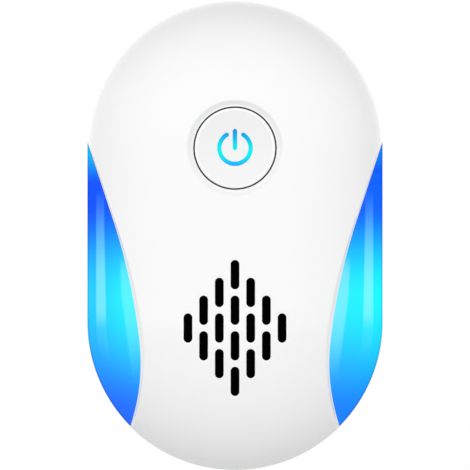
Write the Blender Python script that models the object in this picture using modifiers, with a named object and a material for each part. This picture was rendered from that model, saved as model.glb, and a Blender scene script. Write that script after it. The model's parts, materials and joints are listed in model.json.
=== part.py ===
"""Plug-in ultrasonic pest repeller, built as the real one is: separate parts in an assembly.

World frame: +Z up, +X to the right as seen from the front, and the front faces -Y.
The origin is the middle of the plug, on the flat back face that meets the wall socket.

The parts are placed in the body frame, an empty at the middle of the oval body whose
X points right, Y points up and Z points forward, away from the wall. A depth in this
script is a distance forward of the back face. A profile is a list of (radius, depth)
points, and an outline is a list of (x, up) points.
"""

import math

import bmesh
import bpy
from mathutils import Vector

MM = 0.001

# Body: an oval of two half circles and two straight sides, with a domed front.
WIDTH = 60.0 * MM
HEIGHT = 95.3 * MM
DEPTH = 32.0 * MM
PLUG_UP = 8.0 * MM                     # the plug's height above the middle of the body
END_RADIUS = WIDTH / 2
HALF_STRAIGHT = (HEIGHT - WIDTH) / 2

# Shells.
WALL = 2.0 * MM
SKIN = 1.0 * MM                        # wall thickness where the covers lap each other
GAP = 0.3 * MM                         # clearance between pieces that touch
SEAM = 10.0 * MM                       # depth of the parting line
CUT_BACK = SEAM - MM                   # depths of cutters that go right through the front cover
CUT_FRONT = DEPTH + 2.0 * MM
DOME_START = SEAM + 2.2 * MM
DOME_RISE = DEPTH - DOME_START
DOME_ACROSS = 2.8                      # superellipse powers of the dome's section
DOME_DEEP = 2.2
DOME_STEPS = 10
END_STEPS = 16                         # segments in each half circle of the oval
FLOOR = 2.2 * MM
BACK_EDGE_RADIUS = 4.0 * MM
BACK_DRAFT = 0.6 * MM

# Side light panels: the inner edge is a leaning line and two tangent arcs.
PANEL_TOP = (-29.95 * MM, 19.05 * MM)
PANEL_LEAN = math.radians(18.3)
PANEL_LINE_END_UP = 3.2 * MM
PANEL_UPPER_RADIUS = 123.0 * MM
PANEL_UPPER_ARC_END_UP = -21.0 * MM
PANEL_LOWER_RADIUS = 40.0 * MM
PANEL_SINK = 0.6 * MM                  # how far the panel lies below the dome
PANEL_THICKNESS = 3.0 * MM
FLANGE_FRONT = WALL + GAP
FLANGE_THICKNESS = 1.0 * MM
FLANGE_REACH = 1.2 * MM

# Sound grille: obround slots in a diamond.
GRILLE_UP = -18.75 * MM
SLOT_WIDTH = 1.75 * MM
SLOT_LENGTH = 5.9 * MM
COLUMN_PITCH = 3.16 * MM
SLOT_PITCH = 7.17 * MM
LONGEST_COLUMN = 4

# Push button with a lit power symbol.
BUTTON_UP = 17.5 * MM
BUTTON_RADIUS = 8.1 * MM
BUTTON_FACE = 31.6 * MM
BUTTON_FACE_BACK = 30.2 * MM
BUTTON_FLANGE_RADIUS = 9.3 * MM
BUTTON_FLANGE_FRONT = 29.3 * MM
BUTTON_BACK = 28.3 * MM
BUTTON_BORE = 7.1 * MM
DISH_RADIUS = 9.82 * MM
DISH_FLOOR_RADIUS = 8.65 * MM
DISH_DEPTH = 0.9 * MM
SYMBOL_RADIUS = 3.16 * MM
SYMBOL_STROKE = 0.88 * MM
SYMBOL_OPENING = math.radians(31.6)    # half of the ring's opening at the top
SYMBOL_BAR = (-0.4 * MM, 3.9 * MM)
SYMBOL_GAP = 0.05 * MM

# Board and what it carries.
BOARD_BACK = 14.4 * MM
BOARD_FRONT = 16.0 * MM
BOARD_HALF_WIDTH = 18.0 * MM
BOARD_BOTTOM = -30.0 * MM
BOARD_TOP = 27.0 * MM
SWITCH_SIDE = 6.0 * MM
SWITCH_WELL_RADIUS = 2.0 * MM
PLUNGER_RADIUS = 1.7 * MM
PLUNGER_FRONT = 21.0 * MM
PLUNGER_BACK = 18.2 * MM

# Speaker behind the grille.
SPEAKER_RADIUS = 16.0 * MM
SPEAKER_FRONT = 25.6 * MM
SPEAKER_BACK = 18.8 * MM
CLOTH_FRONT = 27.8 * MM

# Two-blade plug.
BLADE_SPACING = 12.7 * MM
BLADE_WIDTH = 6.35 * MM
BLADE_THICKNESS = 1.5 * MM
BLADE_REACH = 16.5 * MM                # how far a blade stands out of the back
BLADE_INNER = 8.6 * MM
BLADE_HOLE_RADIUS = 1.6 * MM

# Fasteners, as (x, up) places.
COVER_SCREWS = [(16.0 * MM, 33.0 * MM), (-16.0 * MM, 33.0 * MM),
                (13.0 * MM, -38.0 * MM), (-13.0 * MM, -38.0 * MM)]
BOARD_SCREWS = [(14.5 * MM, 23.0 * MM), (-14.5 * MM, -26.0 * MM)]
BOARD_PEGS = [(-14.5 * MM, 23.0 * MM), (14.5 * MM, -26.0 * MM)]
SCREW_RADIUS = 1.3 * MM
SCREW_HOLE_RADIUS = SCREW_RADIUS + GAP
BOARD_SCREW_RADIUS = 0.8 * MM
COVER_SCREW_HEAD = 2.6 * MM
COVER_BOSS_RADIUS = 4.2 * MM
BOARD_POST_RADIUS = 2.2 * MM
PEG_RADIUS = 1.0 * MM

WELD = 1e-6


# ---------------------------------------------------------------- scene and materials

def clear_scene():
    for item in list(bpy.data.objects):
        bpy.data.objects.remove(item, do_unlink=True)


def new_collection(name):
    collection = bpy.data.collections.new(name)
    bpy.context.scene.collection.children.link(collection)
    return collection


def finish(name, colour, roughness, metallic=0.0, glow=0.0):
    """A Principled material, with a glow in its own colour for lit parts."""
    material = bpy.data.materials.new(name)
    material.use_nodes = True
    shader = material.node_tree.nodes["Principled BSDF"]
    shader.inputs["Base Color"].default_value = (*colour, 1.0)
    shader.inputs["Roughness"].default_value = roughness
    shader.inputs["Metallic"].default_value = metallic
    shader.inputs["Emission Color"].default_value = (*colour, 1.0)
    shader.inputs["Emission Strength"].default_value = glow
    material.diffuse_color = (*colour, 1.0)
    return material


def make_materials():
    return {
        "white": finish("white_gloss_plastic", (0.92, 0.92, 0.93), 0.18),
        "cap": finish("button_white_plastic", (0.88, 0.88, 0.89), 0.28),
        "panel": finish("blue_light_panel", (0.05, 0.45, 1.0), 0.12, glow=0.8),
        "symbol": finish("lit_symbol", (0.02, 0.65, 1.0), 0.2, glow=1.0),
        "led": finish("blue_led", (0.1, 0.35, 1.0), 0.1, glow=1.5),
        "cloth": finish("black_cloth", (0.01, 0.01, 0.012), 0.95),
        "foam": finish("black_foam", (0.03, 0.03, 0.03), 0.95),
        "black": finish("black_plastic", (0.02, 0.02, 0.022), 0.45),
        "paper": finish("speaker_paper", (0.06, 0.06, 0.065), 0.85),
        "brass": finish("brass", (0.8, 0.58, 0.25), 0.3, 1.0),
        "ceramic": finish("piezo_ceramic", (0.85, 0.83, 0.78), 0.5),
        "board": finish("green_board", (0.02, 0.22, 0.09), 0.4),
        "sleeve": finish("capacitor_sleeve", (0.03, 0.05, 0.16), 0.3),
        "film": finish("film_capacitor_case", (0.55, 0.08, 0.04), 0.4),
        "ferrite": finish("ferrite", (0.05, 0.05, 0.055), 0.6),
        "copper": finish("copper_winding", (0.7, 0.32, 0.14), 0.35, 1.0),
        "varistor": finish("varistor_coating", (0.05, 0.2, 0.5), 0.5),
        "resistor": finish("resistor_coating", (0.3, 0.5, 0.4), 0.5),
        "nickel": finish("nickel_plate", (0.75, 0.74, 0.72), 0.22, 1.0),
        "steel": finish("zinc_steel", (0.6, 0.61, 0.62), 0.35, 1.0),
        "red": finish("red_insulation", (0.6, 0.03, 0.02), 0.45),
    }


# ---------------------------------------------------------------- outlines and profiles

def arc(centre, radius, start, end, steps):
    """Points on an arc, both ends included."""
    points = []
    for step in range(steps + 1):
        turn = start + (end - start) * step / steps
        points.append((centre[0] + radius * math.cos(turn), centre[1] + radius * math.sin(turn)))
    return points


def circle(radius, steps, centre=(0.0, 0.0)):
    """A circle whose corners miss the body's middle plane, so that cuts stay clean."""
    first = math.pi / steps
    return arc(centre, radius, first, first + 2 * math.pi, steps)[:-1]


def obround(centre, width, length, steps=5):
    """A slot with round ends, standing upright."""
    half = (length - width) / 2
    top = arc((centre[0], centre[1] + half), width / 2, 0.0, math.pi, steps)
    bottom = arc((centre[0], centre[1] - half), width / 2, math.pi, 2 * math.pi, steps)
    return top + bottom


def rectangle(centre, width, height, corner=0.0, steps=3):
    """A rectangle with rounded corners, or sharp ones if the corner radius is 0."""
    across = width / 2 - corner
    up = height / 2 - corner
    points = []
    for side_x, side_up, start in ((1, 1, 0.0), (-1, 1, 0.5), (-1, -1, 1.0), (1, -1, 1.5)):
        middle = (centre[0] + side_x * across, centre[1] + side_up * up)
        if corner:
            points += arc(middle, corner, start * math.pi, (start + 0.5) * math.pi, steps)
        else:
            points.append(middle)
    return points


def cross(size, width):
    """The outline of a screwdriver recess."""
    reach = size / 2
    root = width / 2
    tip = 0.8 * root
    quarter = [(reach, -tip), (reach, tip), (root, root)]
    outline = []
    for _ in range(4):
        outline += quarter
        quarter = [(-up, x) for x, up in quarter]
    return outline


def dome(inset=0.0, sink=0.0):
    """The dome's section from its rim to its middle, inset along its normal."""
    points = []
    for step in range(DOME_STEPS + 1):
        turn = math.pi / 2 * step / DOME_STEPS
        across = max(math.cos(turn), 0.0) ** (2 / DOME_ACROSS)
        deep = math.sin(turn) ** (2 / DOME_DEEP)
        normal = Vector((DOME_ACROSS / END_RADIUS * across ** (DOME_ACROSS - 1),
                         DOME_DEEP / DOME_RISE * deep ** (DOME_DEEP - 1))).normalized()
        radius = END_RADIUS * across - inset * normal.x
        depth = DOME_START + DOME_RISE * deep - inset * normal.y - sink
        points.append((radius, depth))
    points[-1] = (0.0, points[-1][1])
    return points


def panel_edge(reach):
    """The light panel's inner edge from top to bottom, moved inward by reach."""
    lean = PANEL_LEAN
    shift = (reach * math.cos(lean), reach * math.sin(lean))
    run = PANEL_TOP[1] - PANEL_LINE_END_UP
    line_end = (PANEL_TOP[0] + run * math.tan(lean), PANEL_LINE_END_UP)
    extra = 5.0 * MM
    line_top = (PANEL_TOP[0] - extra * math.tan(lean), PANEL_TOP[1] + extra)
    upper_centre = (line_end[0] - PANEL_UPPER_RADIUS * math.cos(lean),
                    line_end[1] - PANEL_UPPER_RADIUS * math.sin(lean))
    turn = math.asin((PANEL_UPPER_ARC_END_UP - upper_centre[1]) / PANEL_UPPER_RADIUS)
    inward = PANEL_UPPER_RADIUS - PANEL_LOWER_RADIUS
    lower_centre = (upper_centre[0] + inward * math.cos(turn), upper_centre[1] + inward * math.sin(turn))
    points = [(line_top[0] + shift[0], line_top[1] + shift[1])]
    points += arc(upper_centre, PANEL_UPPER_RADIUS + reach, lean, turn, 8)
    points += arc(lower_centre, PANEL_LOWER_RADIUS + reach, turn, math.radians(-33), 12)[1:]
    return points


def panel_outline(side, reach):
    """The panel's outline seen from the front, open past the body on its outer side."""
    edge = panel_edge(reach)
    outside = -1.15 * END_RADIUS
    outline = edge + [(outside, edge[-1][1]), (outside, edge[0][1])]
    return [(-side * x, up) for x, up in outline]


def grille_slots():
    outlines = []
    for column in range(1 - LONGEST_COLUMN, LONGEST_COLUMN):
        count = LONGEST_COLUMN - abs(column)
        for row in range(count):
            up = GRILLE_UP + (row - (count - 1) / 2) * SLOT_PITCH
            outlines.append(obround((column * COLUMN_PITCH, up), SLOT_WIDTH, SLOT_LENGTH))
    return outlines


def power_symbol(stroke):
    """The open ring and the upright bar of a power symbol, about the button's middle."""
    half = stroke / 2
    start = math.pi / 2 + SYMBOL_OPENING
    end = math.pi / 2 - SYMBOL_OPENING + 2 * math.pi
    outer = arc((0.0, 0.0), SYMBOL_RADIUS + half, start, end, 16)
    inner = arc((0.0, 0.0), SYMBOL_RADIUS - half, end, start, 16)
    first = arc((SYMBOL_RADIUS * math.cos(start), SYMBOL_RADIUS * math.sin(start)), half,
                start - math.pi, start, 4)
    last = arc((SYMBOL_RADIUS * math.cos(end), SYMBOL_RADIUS * math.sin(end)), half,
               end, end + math.pi, 4)
    ring = outer + last[1:-1] + inner + first[1:-1]
    trim = (SYMBOL_STROKE - stroke) / 2
    low, high = SYMBOL_BAR
    bar = obround((0.0, (low + high) / 2), stroke, high - low - 2 * trim)
    return [ring, bar]


def smooth_route(points, per_span=3):
    """Catmull-Rom curve through the points of a wire's route."""
    route = [Vector(point) for point in points]
    route = [2 * route[0] - route[1]] + route + [2 * route[-1] - route[-2]]
    smooth = []
    for index in range(1, len(route) - 2):
        before, start, end, after = route[index - 1:index + 3]
        for step in range(per_span):
            t = step / per_span
            smooth.append(0.5 * ((2 * start) + (end - before) * t
                                 + (2 * before - 5 * start + 4 * end - after) * t ** 2
                                 + (3 * start - before - 3 * end + after) * t ** 3))
    return smooth + [route[-2]]


# ---------------------------------------------------------------- solids

class Builder:
    """Makes solids in the body frame and files them as parts or as cutters."""

    def __init__(self):
        self.parts = new_collection("ultrasonic_pest_repeller")
        self.cutters = new_collection("cutters")
        self.materials = make_materials()
        self.body = bpy.data.objects.new("body_frame", None)
        self.body.location = (0.0, 0.0, -PLUG_UP)
        self.body.rotation_euler = (math.pi / 2, 0.0, 0.0)
        self.parts.objects.link(self.body)

    def add(self, name, data, material, place=(0.0, 0.0, 0.0), turn=(0.0, 0.0, 0.0)):
        """An object in the body frame: a part if it has a material, otherwise a cutter."""
        item = bpy.data.objects.new(name, data)
        item.parent = self.body
        item.location = place
        item.rotation_euler = turn
        if material is None:
            self.cutters.objects.link(item)
            item.hide_render = True
            item.display_type = "WIRE"
        else:
            self.parts.objects.link(item)
            data.materials.append(self.materials[material])
        return item

    def add_mesh(self, name, shape, material, place=(0.0, 0.0, 0.0), turn=(0.0, 0.0, 0.0)):
        """Closes a bmesh's seams, turns its faces outward and makes an object of it."""
        bmesh.ops.remove_doubles(shape, verts=shape.verts, dist=WELD)
        bmesh.ops.recalc_face_normals(shape, faces=shape.faces)
        mesh = bpy.data.meshes.new(name)
        shape.to_mesh(mesh)
        shape.free()
        mesh.shade_smooth()
        mesh.set_sharp_from_angle(angle=math.radians(35))
        return self.add(name, mesh, material, place, turn)

    def oval(self, name, profile, material):
        """Sweeps a profile, which starts and ends on the axis, round the oval body."""
        shape = bmesh.new()
        points = [shape.verts.new((radius, HALF_STRAIGHT, depth)) for radius, depth in profile]
        line = [shape.edges.new(pair) for pair in zip(points, points[1:])]
        last = points + line
        for end in (1, -1):
            turned = bmesh.ops.spin(shape, geom=last, cent=(0.0, end * HALF_STRAIGHT, 0.0),
                                    axis=(0.0, 0.0, 1.0), angle=math.pi, steps=END_STEPS)
            moving = [item for item in turned["geom_last"] if isinstance(item, bmesh.types.BMEdge)]
            straight = bmesh.ops.extrude_edge_only(shape, edges=moving)["geom"]
            verts = [item for item in straight if isinstance(item, bmesh.types.BMVert)]
            bmesh.ops.translate(shape, verts=verts, vec=(0.0, -end * 2 * HALF_STRAIGHT, 0.0))
            last = verts + [item for item in straight if isinstance(item, bmesh.types.BMEdge)]
        return self.add_mesh(name, shape, material)

    def prism(self, name, outlines, back, front, material, centre=(0.0, 0.0), turn=(0.0, 0.0, 0.0)):
        """A solid between two depths; an outline inside another one is a hole."""
        curve = bpy.data.curves.new(name, "CURVE")
        curve.dimensions = "2D"
        curve.fill_mode = "BOTH"
        curve.extrude = (front - back) / 2
        for outline in outlines:
            spline = curve.splines.new("POLY")
            spline.points.add(len(outline) - 1)
            for point, (x, up) in zip(spline.points, outline):
                point.co = (x, up, 0.0, 1.0)
            spline.use_cyclic_u = True
        flat = bpy.data.objects.new(name + "_outline", curve)
        self.cutters.objects.link(flat)
        evaluated = flat.evaluated_get(bpy.context.evaluated_depsgraph_get())
        mesh = bpy.data.meshes.new_from_object(evaluated)
        shape = bmesh.new()
        shape.from_mesh(mesh)
        bpy.data.objects.remove(flat, do_unlink=True)
        bpy.data.meshes.remove(mesh)
        bpy.data.curves.remove(curve)
        return self.add_mesh(name, shape, material, (*centre, (front + back) / 2), turn)

    def turned(self, name, profile, material, centre=(0.0, 0.0), steps=24, turn=(0.0, 0.0, 0.0),
               depth=0.0):
        """A solid of revolution; its profile runs from the front, down the outer side."""
        mesh = bpy.data.meshes.new(name)
        shape = bmesh.new()
        points = [shape.verts.new((radius, 0.0, height)) for radius, height in profile]
        pairs = list(zip(points, points[1:]))
        if profile[0][0] > 0.0:
            pairs.append((points[-1], points[0]))
        for pair in pairs:
            shape.edges.new(pair)
        shape.to_mesh(mesh)
        shape.free()
        item = self.add(name, mesh, material, (*centre, depth), turn)
        screw = item.modifiers.new("turn", "SCREW")
        screw.axis = "Z"
        screw.steps = steps
        screw.render_steps = steps
        screw.use_merge_vertices = True
        screw.merge_threshold = 1e-5
        screw.use_smooth_shade = True
        return item

    def cylinders(self, name, centres, radius, back, front, material=None, steps=16):
        """Equal round bars, as separate bodies of one object."""
        shape = bmesh.new()
        for x, up in centres:
            made = bmesh.ops.create_cone(shape, cap_ends=True, segments=steps, radius1=radius,
                                         radius2=radius, depth=front - back)
            bmesh.ops.translate(shape, verts=made["verts"], vec=(x, up, (front + back) / 2))
        return self.add_mesh(name, shape, material)

    def blocks(self, name, centres, size, material=None, bevel=0.0, place=(0.0, 0.0, 0.0)):
        """Equal boxes, as separate bodies of one object, with an optional edge bevel."""
        shape = bmesh.new()
        for centre in centres:
            made = bmesh.ops.create_cube(shape, size=1.0)
            bmesh.ops.scale(shape, verts=made["verts"], vec=size)
            bmesh.ops.translate(shape, verts=made["verts"], vec=centre)
        item = self.add_mesh(name, shape, material, place)
        if bevel:
            edge = item.modifiers.new("edges", "BEVEL")
            edge.width = bevel
            edge.segments = 1
        return item

    def wire(self, name, points, radius, material):
        """A round wire along a smooth route."""
        route = smooth_route(points)
        curve = bpy.data.curves.new(name, "CURVE")
        curve.dimensions = "3D"
        curve.bevel_depth = radius
        curve.bevel_resolution = 2
        curve.use_fill_caps = True
        spline = curve.splines.new("POLY")
        spline.points.add(len(route) - 1)
        for point, place in zip(spline.points, route):
            point.co = (*place, 1.0)
        return self.add(name, curve, material)


def combine(target, operation, helper):
    """Adds a Boolean to a part: UNION, DIFFERENCE or INTERSECT with a helper solid."""
    step = target.modifiers.new(helper.name, "BOOLEAN")
    step.operation = operation
    step.object = helper
    step.solver = "EXACT"


# ---------------------------------------------------------------- housing

def make_front_cover(build):
    rim = SEAM + GAP / 2
    inside = END_RADIUS - SKIN
    profile = dome()[::-1] + [(END_RADIUS, rim), (inside, rim), (inside, DOME_START)]
    cover = build.oval("front_cover", profile + dome(WALL), "white")

    core_profile = dome(WALL / 2)[::-1] + [(inside, SEAM / 2), (0.0, SEAM / 2)]
    core = build.oval("front_core", core_profile, None)
    post_back = SEAM + GAP + 0.1 * MM
    posts = build.cylinders("front_posts", COVER_SCREWS, 3.0 * MM, post_back, DEPTH)
    rib_radius = SPEAKER_RADIUS + GAP
    rib = build.prism("speaker_rib", [circle(rib_radius + SKIN, 32), circle(rib_radius, 32)],
                      SPEAKER_FRONT - 2.6 * MM, DEPTH, None, (0.0, GRILLE_UP))
    for support in (posts, rib):
        combine(support, "INTERSECT", core)
        combine(cover, "UNION", support)

    for side, name in ((-1, "left"), (1, "right")):
        outline = panel_outline(side, 0.0)
        window = build.prism(name + "_window", [outline], CUT_BACK, CUT_FRONT, None)
        combine(cover, "DIFFERENCE", window)
    slots = build.prism("grille_slots", grille_slots(), CLOTH_FRONT + GAP, CUT_FRONT, None)
    combine(cover, "DIFFERENCE", slots)
    hole = BUTTON_RADIUS + GAP
    dish_bottom = DEPTH - DISH_DEPTH
    opening = [(0.0, CUT_FRONT), (DISH_RADIUS, CUT_FRONT), (DISH_RADIUS, DEPTH),
               (DISH_FLOOR_RADIUS, dish_bottom), (hole, dish_bottom), (hole, BUTTON_BACK),
               (0.0, BUTTON_BACK)]
    sides = 32
    half_step = (0.0, 0.0, math.pi / sides)
    tool = build.turned("button_opening", opening, None, (0.0, BUTTON_UP), sides, half_step)
    combine(cover, "DIFFERENCE", tool)
    pilots = build.cylinders("front_pilots", COVER_SCREWS, SCREW_HOLE_RADIUS, SEAM, 19.0 * MM)
    combine(cover, "DIFFERENCE", pilots)


def make_rear_cover(build):
    rim = SEAM - GAP / 2
    tongue = DOME_START - GAP
    tongue_outer = END_RADIUS - SKIN - GAP
    tongue_inner = tongue_outer - 0.9 * MM
    corner_radius = END_RADIUS - BACK_DRAFT - BACK_EDGE_RADIUS
    edge = arc((corner_radius, BACK_EDGE_RADIUS), BACK_EDGE_RADIUS, -math.pi / 2, 0.0, 5)
    inner = arc((corner_radius, BACK_EDGE_RADIUS), BACK_EDGE_RADIUS - FLOOR, 0.0, -math.pi / 2, 3)
    profile = [(0.0, 0.0)] + edge + [(END_RADIUS, rim), (tongue_outer, rim), (tongue_outer, tongue),
                                     (tongue_inner, tongue), (tongue_inner, rim)]
    cover = build.oval("rear_cover", profile + inner + [(0.0, FLOOR)], "white")

    inside = FLOOR / 2
    bosses = build.cylinders("rear_bosses", COVER_SCREWS, COVER_BOSS_RADIUS, inside, SEAM + 0.1 * MM)
    posts = build.cylinders("board_posts", BOARD_SCREWS + BOARD_PEGS, BOARD_POST_RADIUS,
                            inside, BOARD_BACK - GAP)
    pegs = build.cylinders("board_pegs", BOARD_PEGS, PEG_RADIUS,
                           BOARD_BACK - 2 * MM, BOARD_FRONT + 0.6 * MM, steps=12)
    for support in (bosses, posts, pegs):
        combine(cover, "UNION", support)

    slot_size = (BLADE_THICKNESS + 2 * GAP, BLADE_WIDTH + 2 * GAP)
    slots = [rectangle((side * BLADE_SPACING / 2, PLUG_UP), *slot_size) for side in (-1, 1)]
    holes = [build.prism("blade_slots", slots, -MM, 4.0 * MM, None),
             build.cylinders("head_recesses", COVER_SCREWS, 3.0 * MM, -MM, 4.0 * MM, steps=20),
             build.cylinders("screw_holes", COVER_SCREWS, SCREW_RADIUS + 0.4 * MM, 3.0 * MM, SEAM + MM),
             build.cylinders("board_pilots", BOARD_SCREWS, BOARD_SCREW_RADIUS + GAP,
                             8.0 * MM, 15.0 * MM, steps=12)]
    for hole in holes:
        combine(cover, "DIFFERENCE", hole)


def make_light_panel(build, side, name):
    """A lit side panel: a sunken piece of the dome with a flange behind the cover's wall."""
    rim = SEAM + GAP / 2
    lit = dome(0.0, PANEL_SINK)[::-1]
    profile = lit + [(END_RADIUS, rim), (END_RADIUS - SKIN, rim), (END_RADIUS - SKIN, DOME_START)]
    panel = build.oval(name + "_light_panel", profile + dome(PANEL_THICKNESS), "panel")
    outline = panel_outline(side, -GAP)
    shape = build.prism(name + "_panel_shape", [outline], CUT_BACK, CUT_FRONT, None)
    combine(panel, "INTERSECT", shape)

    flange_profile = dome(FLANGE_FRONT)[1:][::-1] + dome(FLANGE_FRONT + FLANGE_THICKNESS)[1:]
    flange = build.oval(name + "_flange", flange_profile, None)
    outline = panel_outline(side, FLANGE_REACH)
    reach = build.prism(name + "_flange_shape", [outline], CUT_BACK, CUT_FRONT, None)
    combine(flange, "INTERSECT", reach)
    combine(panel, "UNION", flange)


def make_screw(build, name, centre, profile, recess, recess_depths):
    screw = build.turned(name, profile, "steel", centre, 16)
    socket = build.prism(name + "_recess", [recess], *recess_depths, None, centre)
    combine(screw, "DIFFERENCE", socket)


def make_fasteners(build):
    head = COVER_SCREW_HEAD
    cover_profile = [(0.0, 18.0 * MM), (0.7 * MM, 17.4 * MM), (SCREW_RADIUS, 16.0 * MM),
                     (SCREW_RADIUS, 3.7 * MM), (head, 3.7 * MM), (head, 2.6 * MM),
                     (1.7 * MM, 1.95 * MM), (0.0, 1.8 * MM)]
    for number, centre in enumerate(COVER_SCREWS, 1):
        make_screw(build, f"cover_screw_{number}", centre, cover_profile,
                   cross(2.6 * MM, 0.7 * MM), (MM, 3.0 * MM))
    board_head = 2.1 * MM
    head_back = BOARD_FRONT + GAP
    board_profile = [(0.0, 17.6 * MM), (1.3 * MM, 17.5 * MM), (board_head, 17.0 * MM),
                     (board_head, head_back), (BOARD_SCREW_RADIUS, head_back),
                     (BOARD_SCREW_RADIUS, 9.6 * MM), (0.0, 8.6 * MM)]
    for number, centre in enumerate(BOARD_SCREWS, 1):
        make_screw(build, f"board_screw_{number}", centre, board_profile,
                   cross(2.0 * MM, 0.55 * MM), (16.7 * MM, 19.0 * MM))


# ---------------------------------------------------------------- button and switch

def make_button(build):
    centre = (0.0, BUTTON_UP)
    edge = BUTTON_RADIUS
    face = BUTTON_FACE
    profile = [(0.0, face), (0.55 * edge, face - 0.03 * MM), (edge - 0.45 * MM, face - 0.1 * MM),
               (edge - 0.12 * MM, face - 0.22 * MM), (edge, face - 0.45 * MM),
               (edge, BUTTON_FLANGE_FRONT),
               (BUTTON_FLANGE_RADIUS, BUTTON_FLANGE_FRONT), (BUTTON_FLANGE_RADIUS, BUTTON_BACK),
               (BUTTON_BORE, BUTTON_BACK), (BUTTON_BORE, BUTTON_FACE_BACK), (0.0, BUTTON_FACE_BACK)]
    cap = build.turned("button_cap", profile, "cap", centre, 32)
    symbol = build.prism("symbol_openings", power_symbol(SYMBOL_STROKE), BUTTON_BACK, CUT_FRONT,
                         None, centre)
    combine(cap, "DIFFERENCE", symbol)

    disc_front = BUTTON_FACE_BACK - GAP
    disc_back = disc_front - 0.8 * MM
    stem = 1.6 * MM
    lens_profile = [(0.0, disc_front), (BUTTON_BORE - GAP, disc_front), (BUTTON_BORE - GAP, disc_back),
                    (stem, disc_back), (stem, PLUNGER_FRONT + GAP), (0.0, PLUNGER_FRONT + GAP)]
    lens = build.turned("button_symbol_lens", lens_profile, "symbol", centre, 24)
    strokes = build.prism("symbol_strokes", power_symbol(SYMBOL_STROKE - 2 * SYMBOL_GAP),
                          disc_front - 0.4 * MM, BUTTON_FACE - 0.02 * MM, None, centre)
    combine(lens, "UNION", strokes)


def make_switch(build):
    centre = (0.0, BUTTON_UP)
    base_back = BOARD_FRONT + GAP
    base_front = base_back + 2.9 * MM
    square = rectangle((0.0, 0.0), SWITCH_SIDE, SWITCH_SIDE, 0.4 * MM, 2)
    base = build.prism("switch_base", [square], base_back, base_front, "black", centre)
    well = build.cylinders("switch_well", [centre], SWITCH_WELL_RADIUS, 17.4 * MM, 21.0 * MM, steps=20)
    combine(base, "DIFFERENCE", well)
    plate_back = base_front + GAP
    build.prism("switch_cover_plate", [square, circle(SWITCH_WELL_RADIUS, 20)],
                plate_back, plate_back + 0.3 * MM, "nickel", centre)
    chamfer = 0.2 * MM
    plunger = [(0.0, PLUNGER_FRONT), (PLUNGER_RADIUS - chamfer, PLUNGER_FRONT),
               (PLUNGER_RADIUS, PLUNGER_FRONT - chamfer), (PLUNGER_RADIUS, PLUNGER_BACK),
               (0.0, PLUNGER_BACK)]
    build.turned("switch_plunger", plunger, "black", centre, 20)


def make_led(build, name, centre):
    """A round 3 mm lamp with a collar at its base and a domed tip."""
    base = BOARD_FRONT + GAP
    radius = 1.5 * MM
    shoulder = base + 3.4 * MM
    tip = [(radius * math.cos(turn), shoulder + radius * math.sin(turn))
           for turn in (math.pi / 2, math.pi / 3, math.pi / 6, 0.0)]
    tip[0] = (0.0, tip[0][1])
    profile = tip + [(radius, base + MM), (1.9 * MM, base + MM), (1.9 * MM, base), (0.0, base)]
    build.turned(name, profile, "led", centre, 12)


def make_leds(build):
    make_led(build, "symbol_led", (0.0, BUTTON_UP - 5.2 * MM))
    for side, name in ((-1, "left"), (1, "right")):
        make_led(build, name + "_led_upper", (side * 15.6 * MM, 6.0 * MM))
        make_led(build, name + "_led_lower", (side * 15.6 * MM, -10.0 * MM))


# ---------------------------------------------------------------- speaker

def make_speaker(build):
    """From the front: cloth, foam ring, frame with its paper cone, brass plate and piezo disc."""
    centre = (0.0, GRILLE_UP)
    front = SPEAKER_FRONT
    back = SPEAKER_BACK
    cloth = obround((0.0, 0.0), 24.0 * MM, 31.0 * MM, 10)
    build.prism("grille_cloth", [cloth], CLOTH_FRONT - 0.4 * MM, CLOTH_FRONT, "cloth", centre)
    ring = [circle(SPEAKER_RADIUS - 0.4 * MM, 32), circle(13.4 * MM, 32)]
    build.prism("speaker_gasket", ring, front + GAP, CLOTH_FRONT - 0.7 * MM, "foam", centre)
    frame = [(13.6 * MM, front), (SPEAKER_RADIUS, front), (SPEAKER_RADIUS, front - 1.2 * MM),
             (14.4 * MM, front - 1.4 * MM), (9.4 * MM, back), (4.0 * MM, back), (4.0 * MM, back + MM),
             (8.8 * MM, back + MM), (13.2 * MM, front - 1.2 * MM)]
    build.turned("speaker_frame", frame, "black", centre, 32)
    cone = [(12.9 * MM, front - 0.4 * MM), (12.4 * MM, front - MM), (4.0 * MM, front - 3.7 * MM),
            (4.0 * MM, front - 3.3 * MM), (11.9 * MM, front - 0.65 * MM), (12.3 * MM, front - 0.1 * MM),
            (12.9 * MM, front - 0.1 * MM)]
    build.turned("speaker_cone", cone, "paper", centre, 32)
    plate_front = front - 4.2 * MM
    build.cylinders("piezo_plate", [centre], 7.6 * MM, plate_front - 0.4 * MM, plate_front, "brass", 32)
    disc_front = plate_front - 0.7 * MM
    build.cylinders("piezo_ceramic", [centre], 5.4 * MM, disc_front - 0.4 * MM, disc_front, "ceramic", 28)


# ---------------------------------------------------------------- electronics

def make_board(build):
    middle = (0.0, (BOARD_TOP + BOARD_BOTTOM) / 2)
    outline = rectangle(middle, 2 * BOARD_HALF_WIDTH, BOARD_TOP - BOARD_BOTTOM, 4.0 * MM, 5)
    holes = [circle(PEG_RADIUS + GAP, 14, centre) for centre in BOARD_SCREWS + BOARD_PEGS]
    build.prism("main_board", [outline] + holes, BOARD_BACK, BOARD_FRONT, "board")


def make_capacitor(build, name, centre, radius, height):
    top = BOARD_BACK - GAP
    low = top - height
    groove = top - 1.6 * MM
    neck = radius - 0.35 * MM
    profile = [(0.0, top), (radius, top), (radius, groove + 0.5 * MM), (neck, groove),
               (radius, groove - 0.5 * MM), (radius, low + 0.4 * MM), (neck, low), (0.0, low)]
    build.turned(name, profile, "sleeve", centre, 24)


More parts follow.
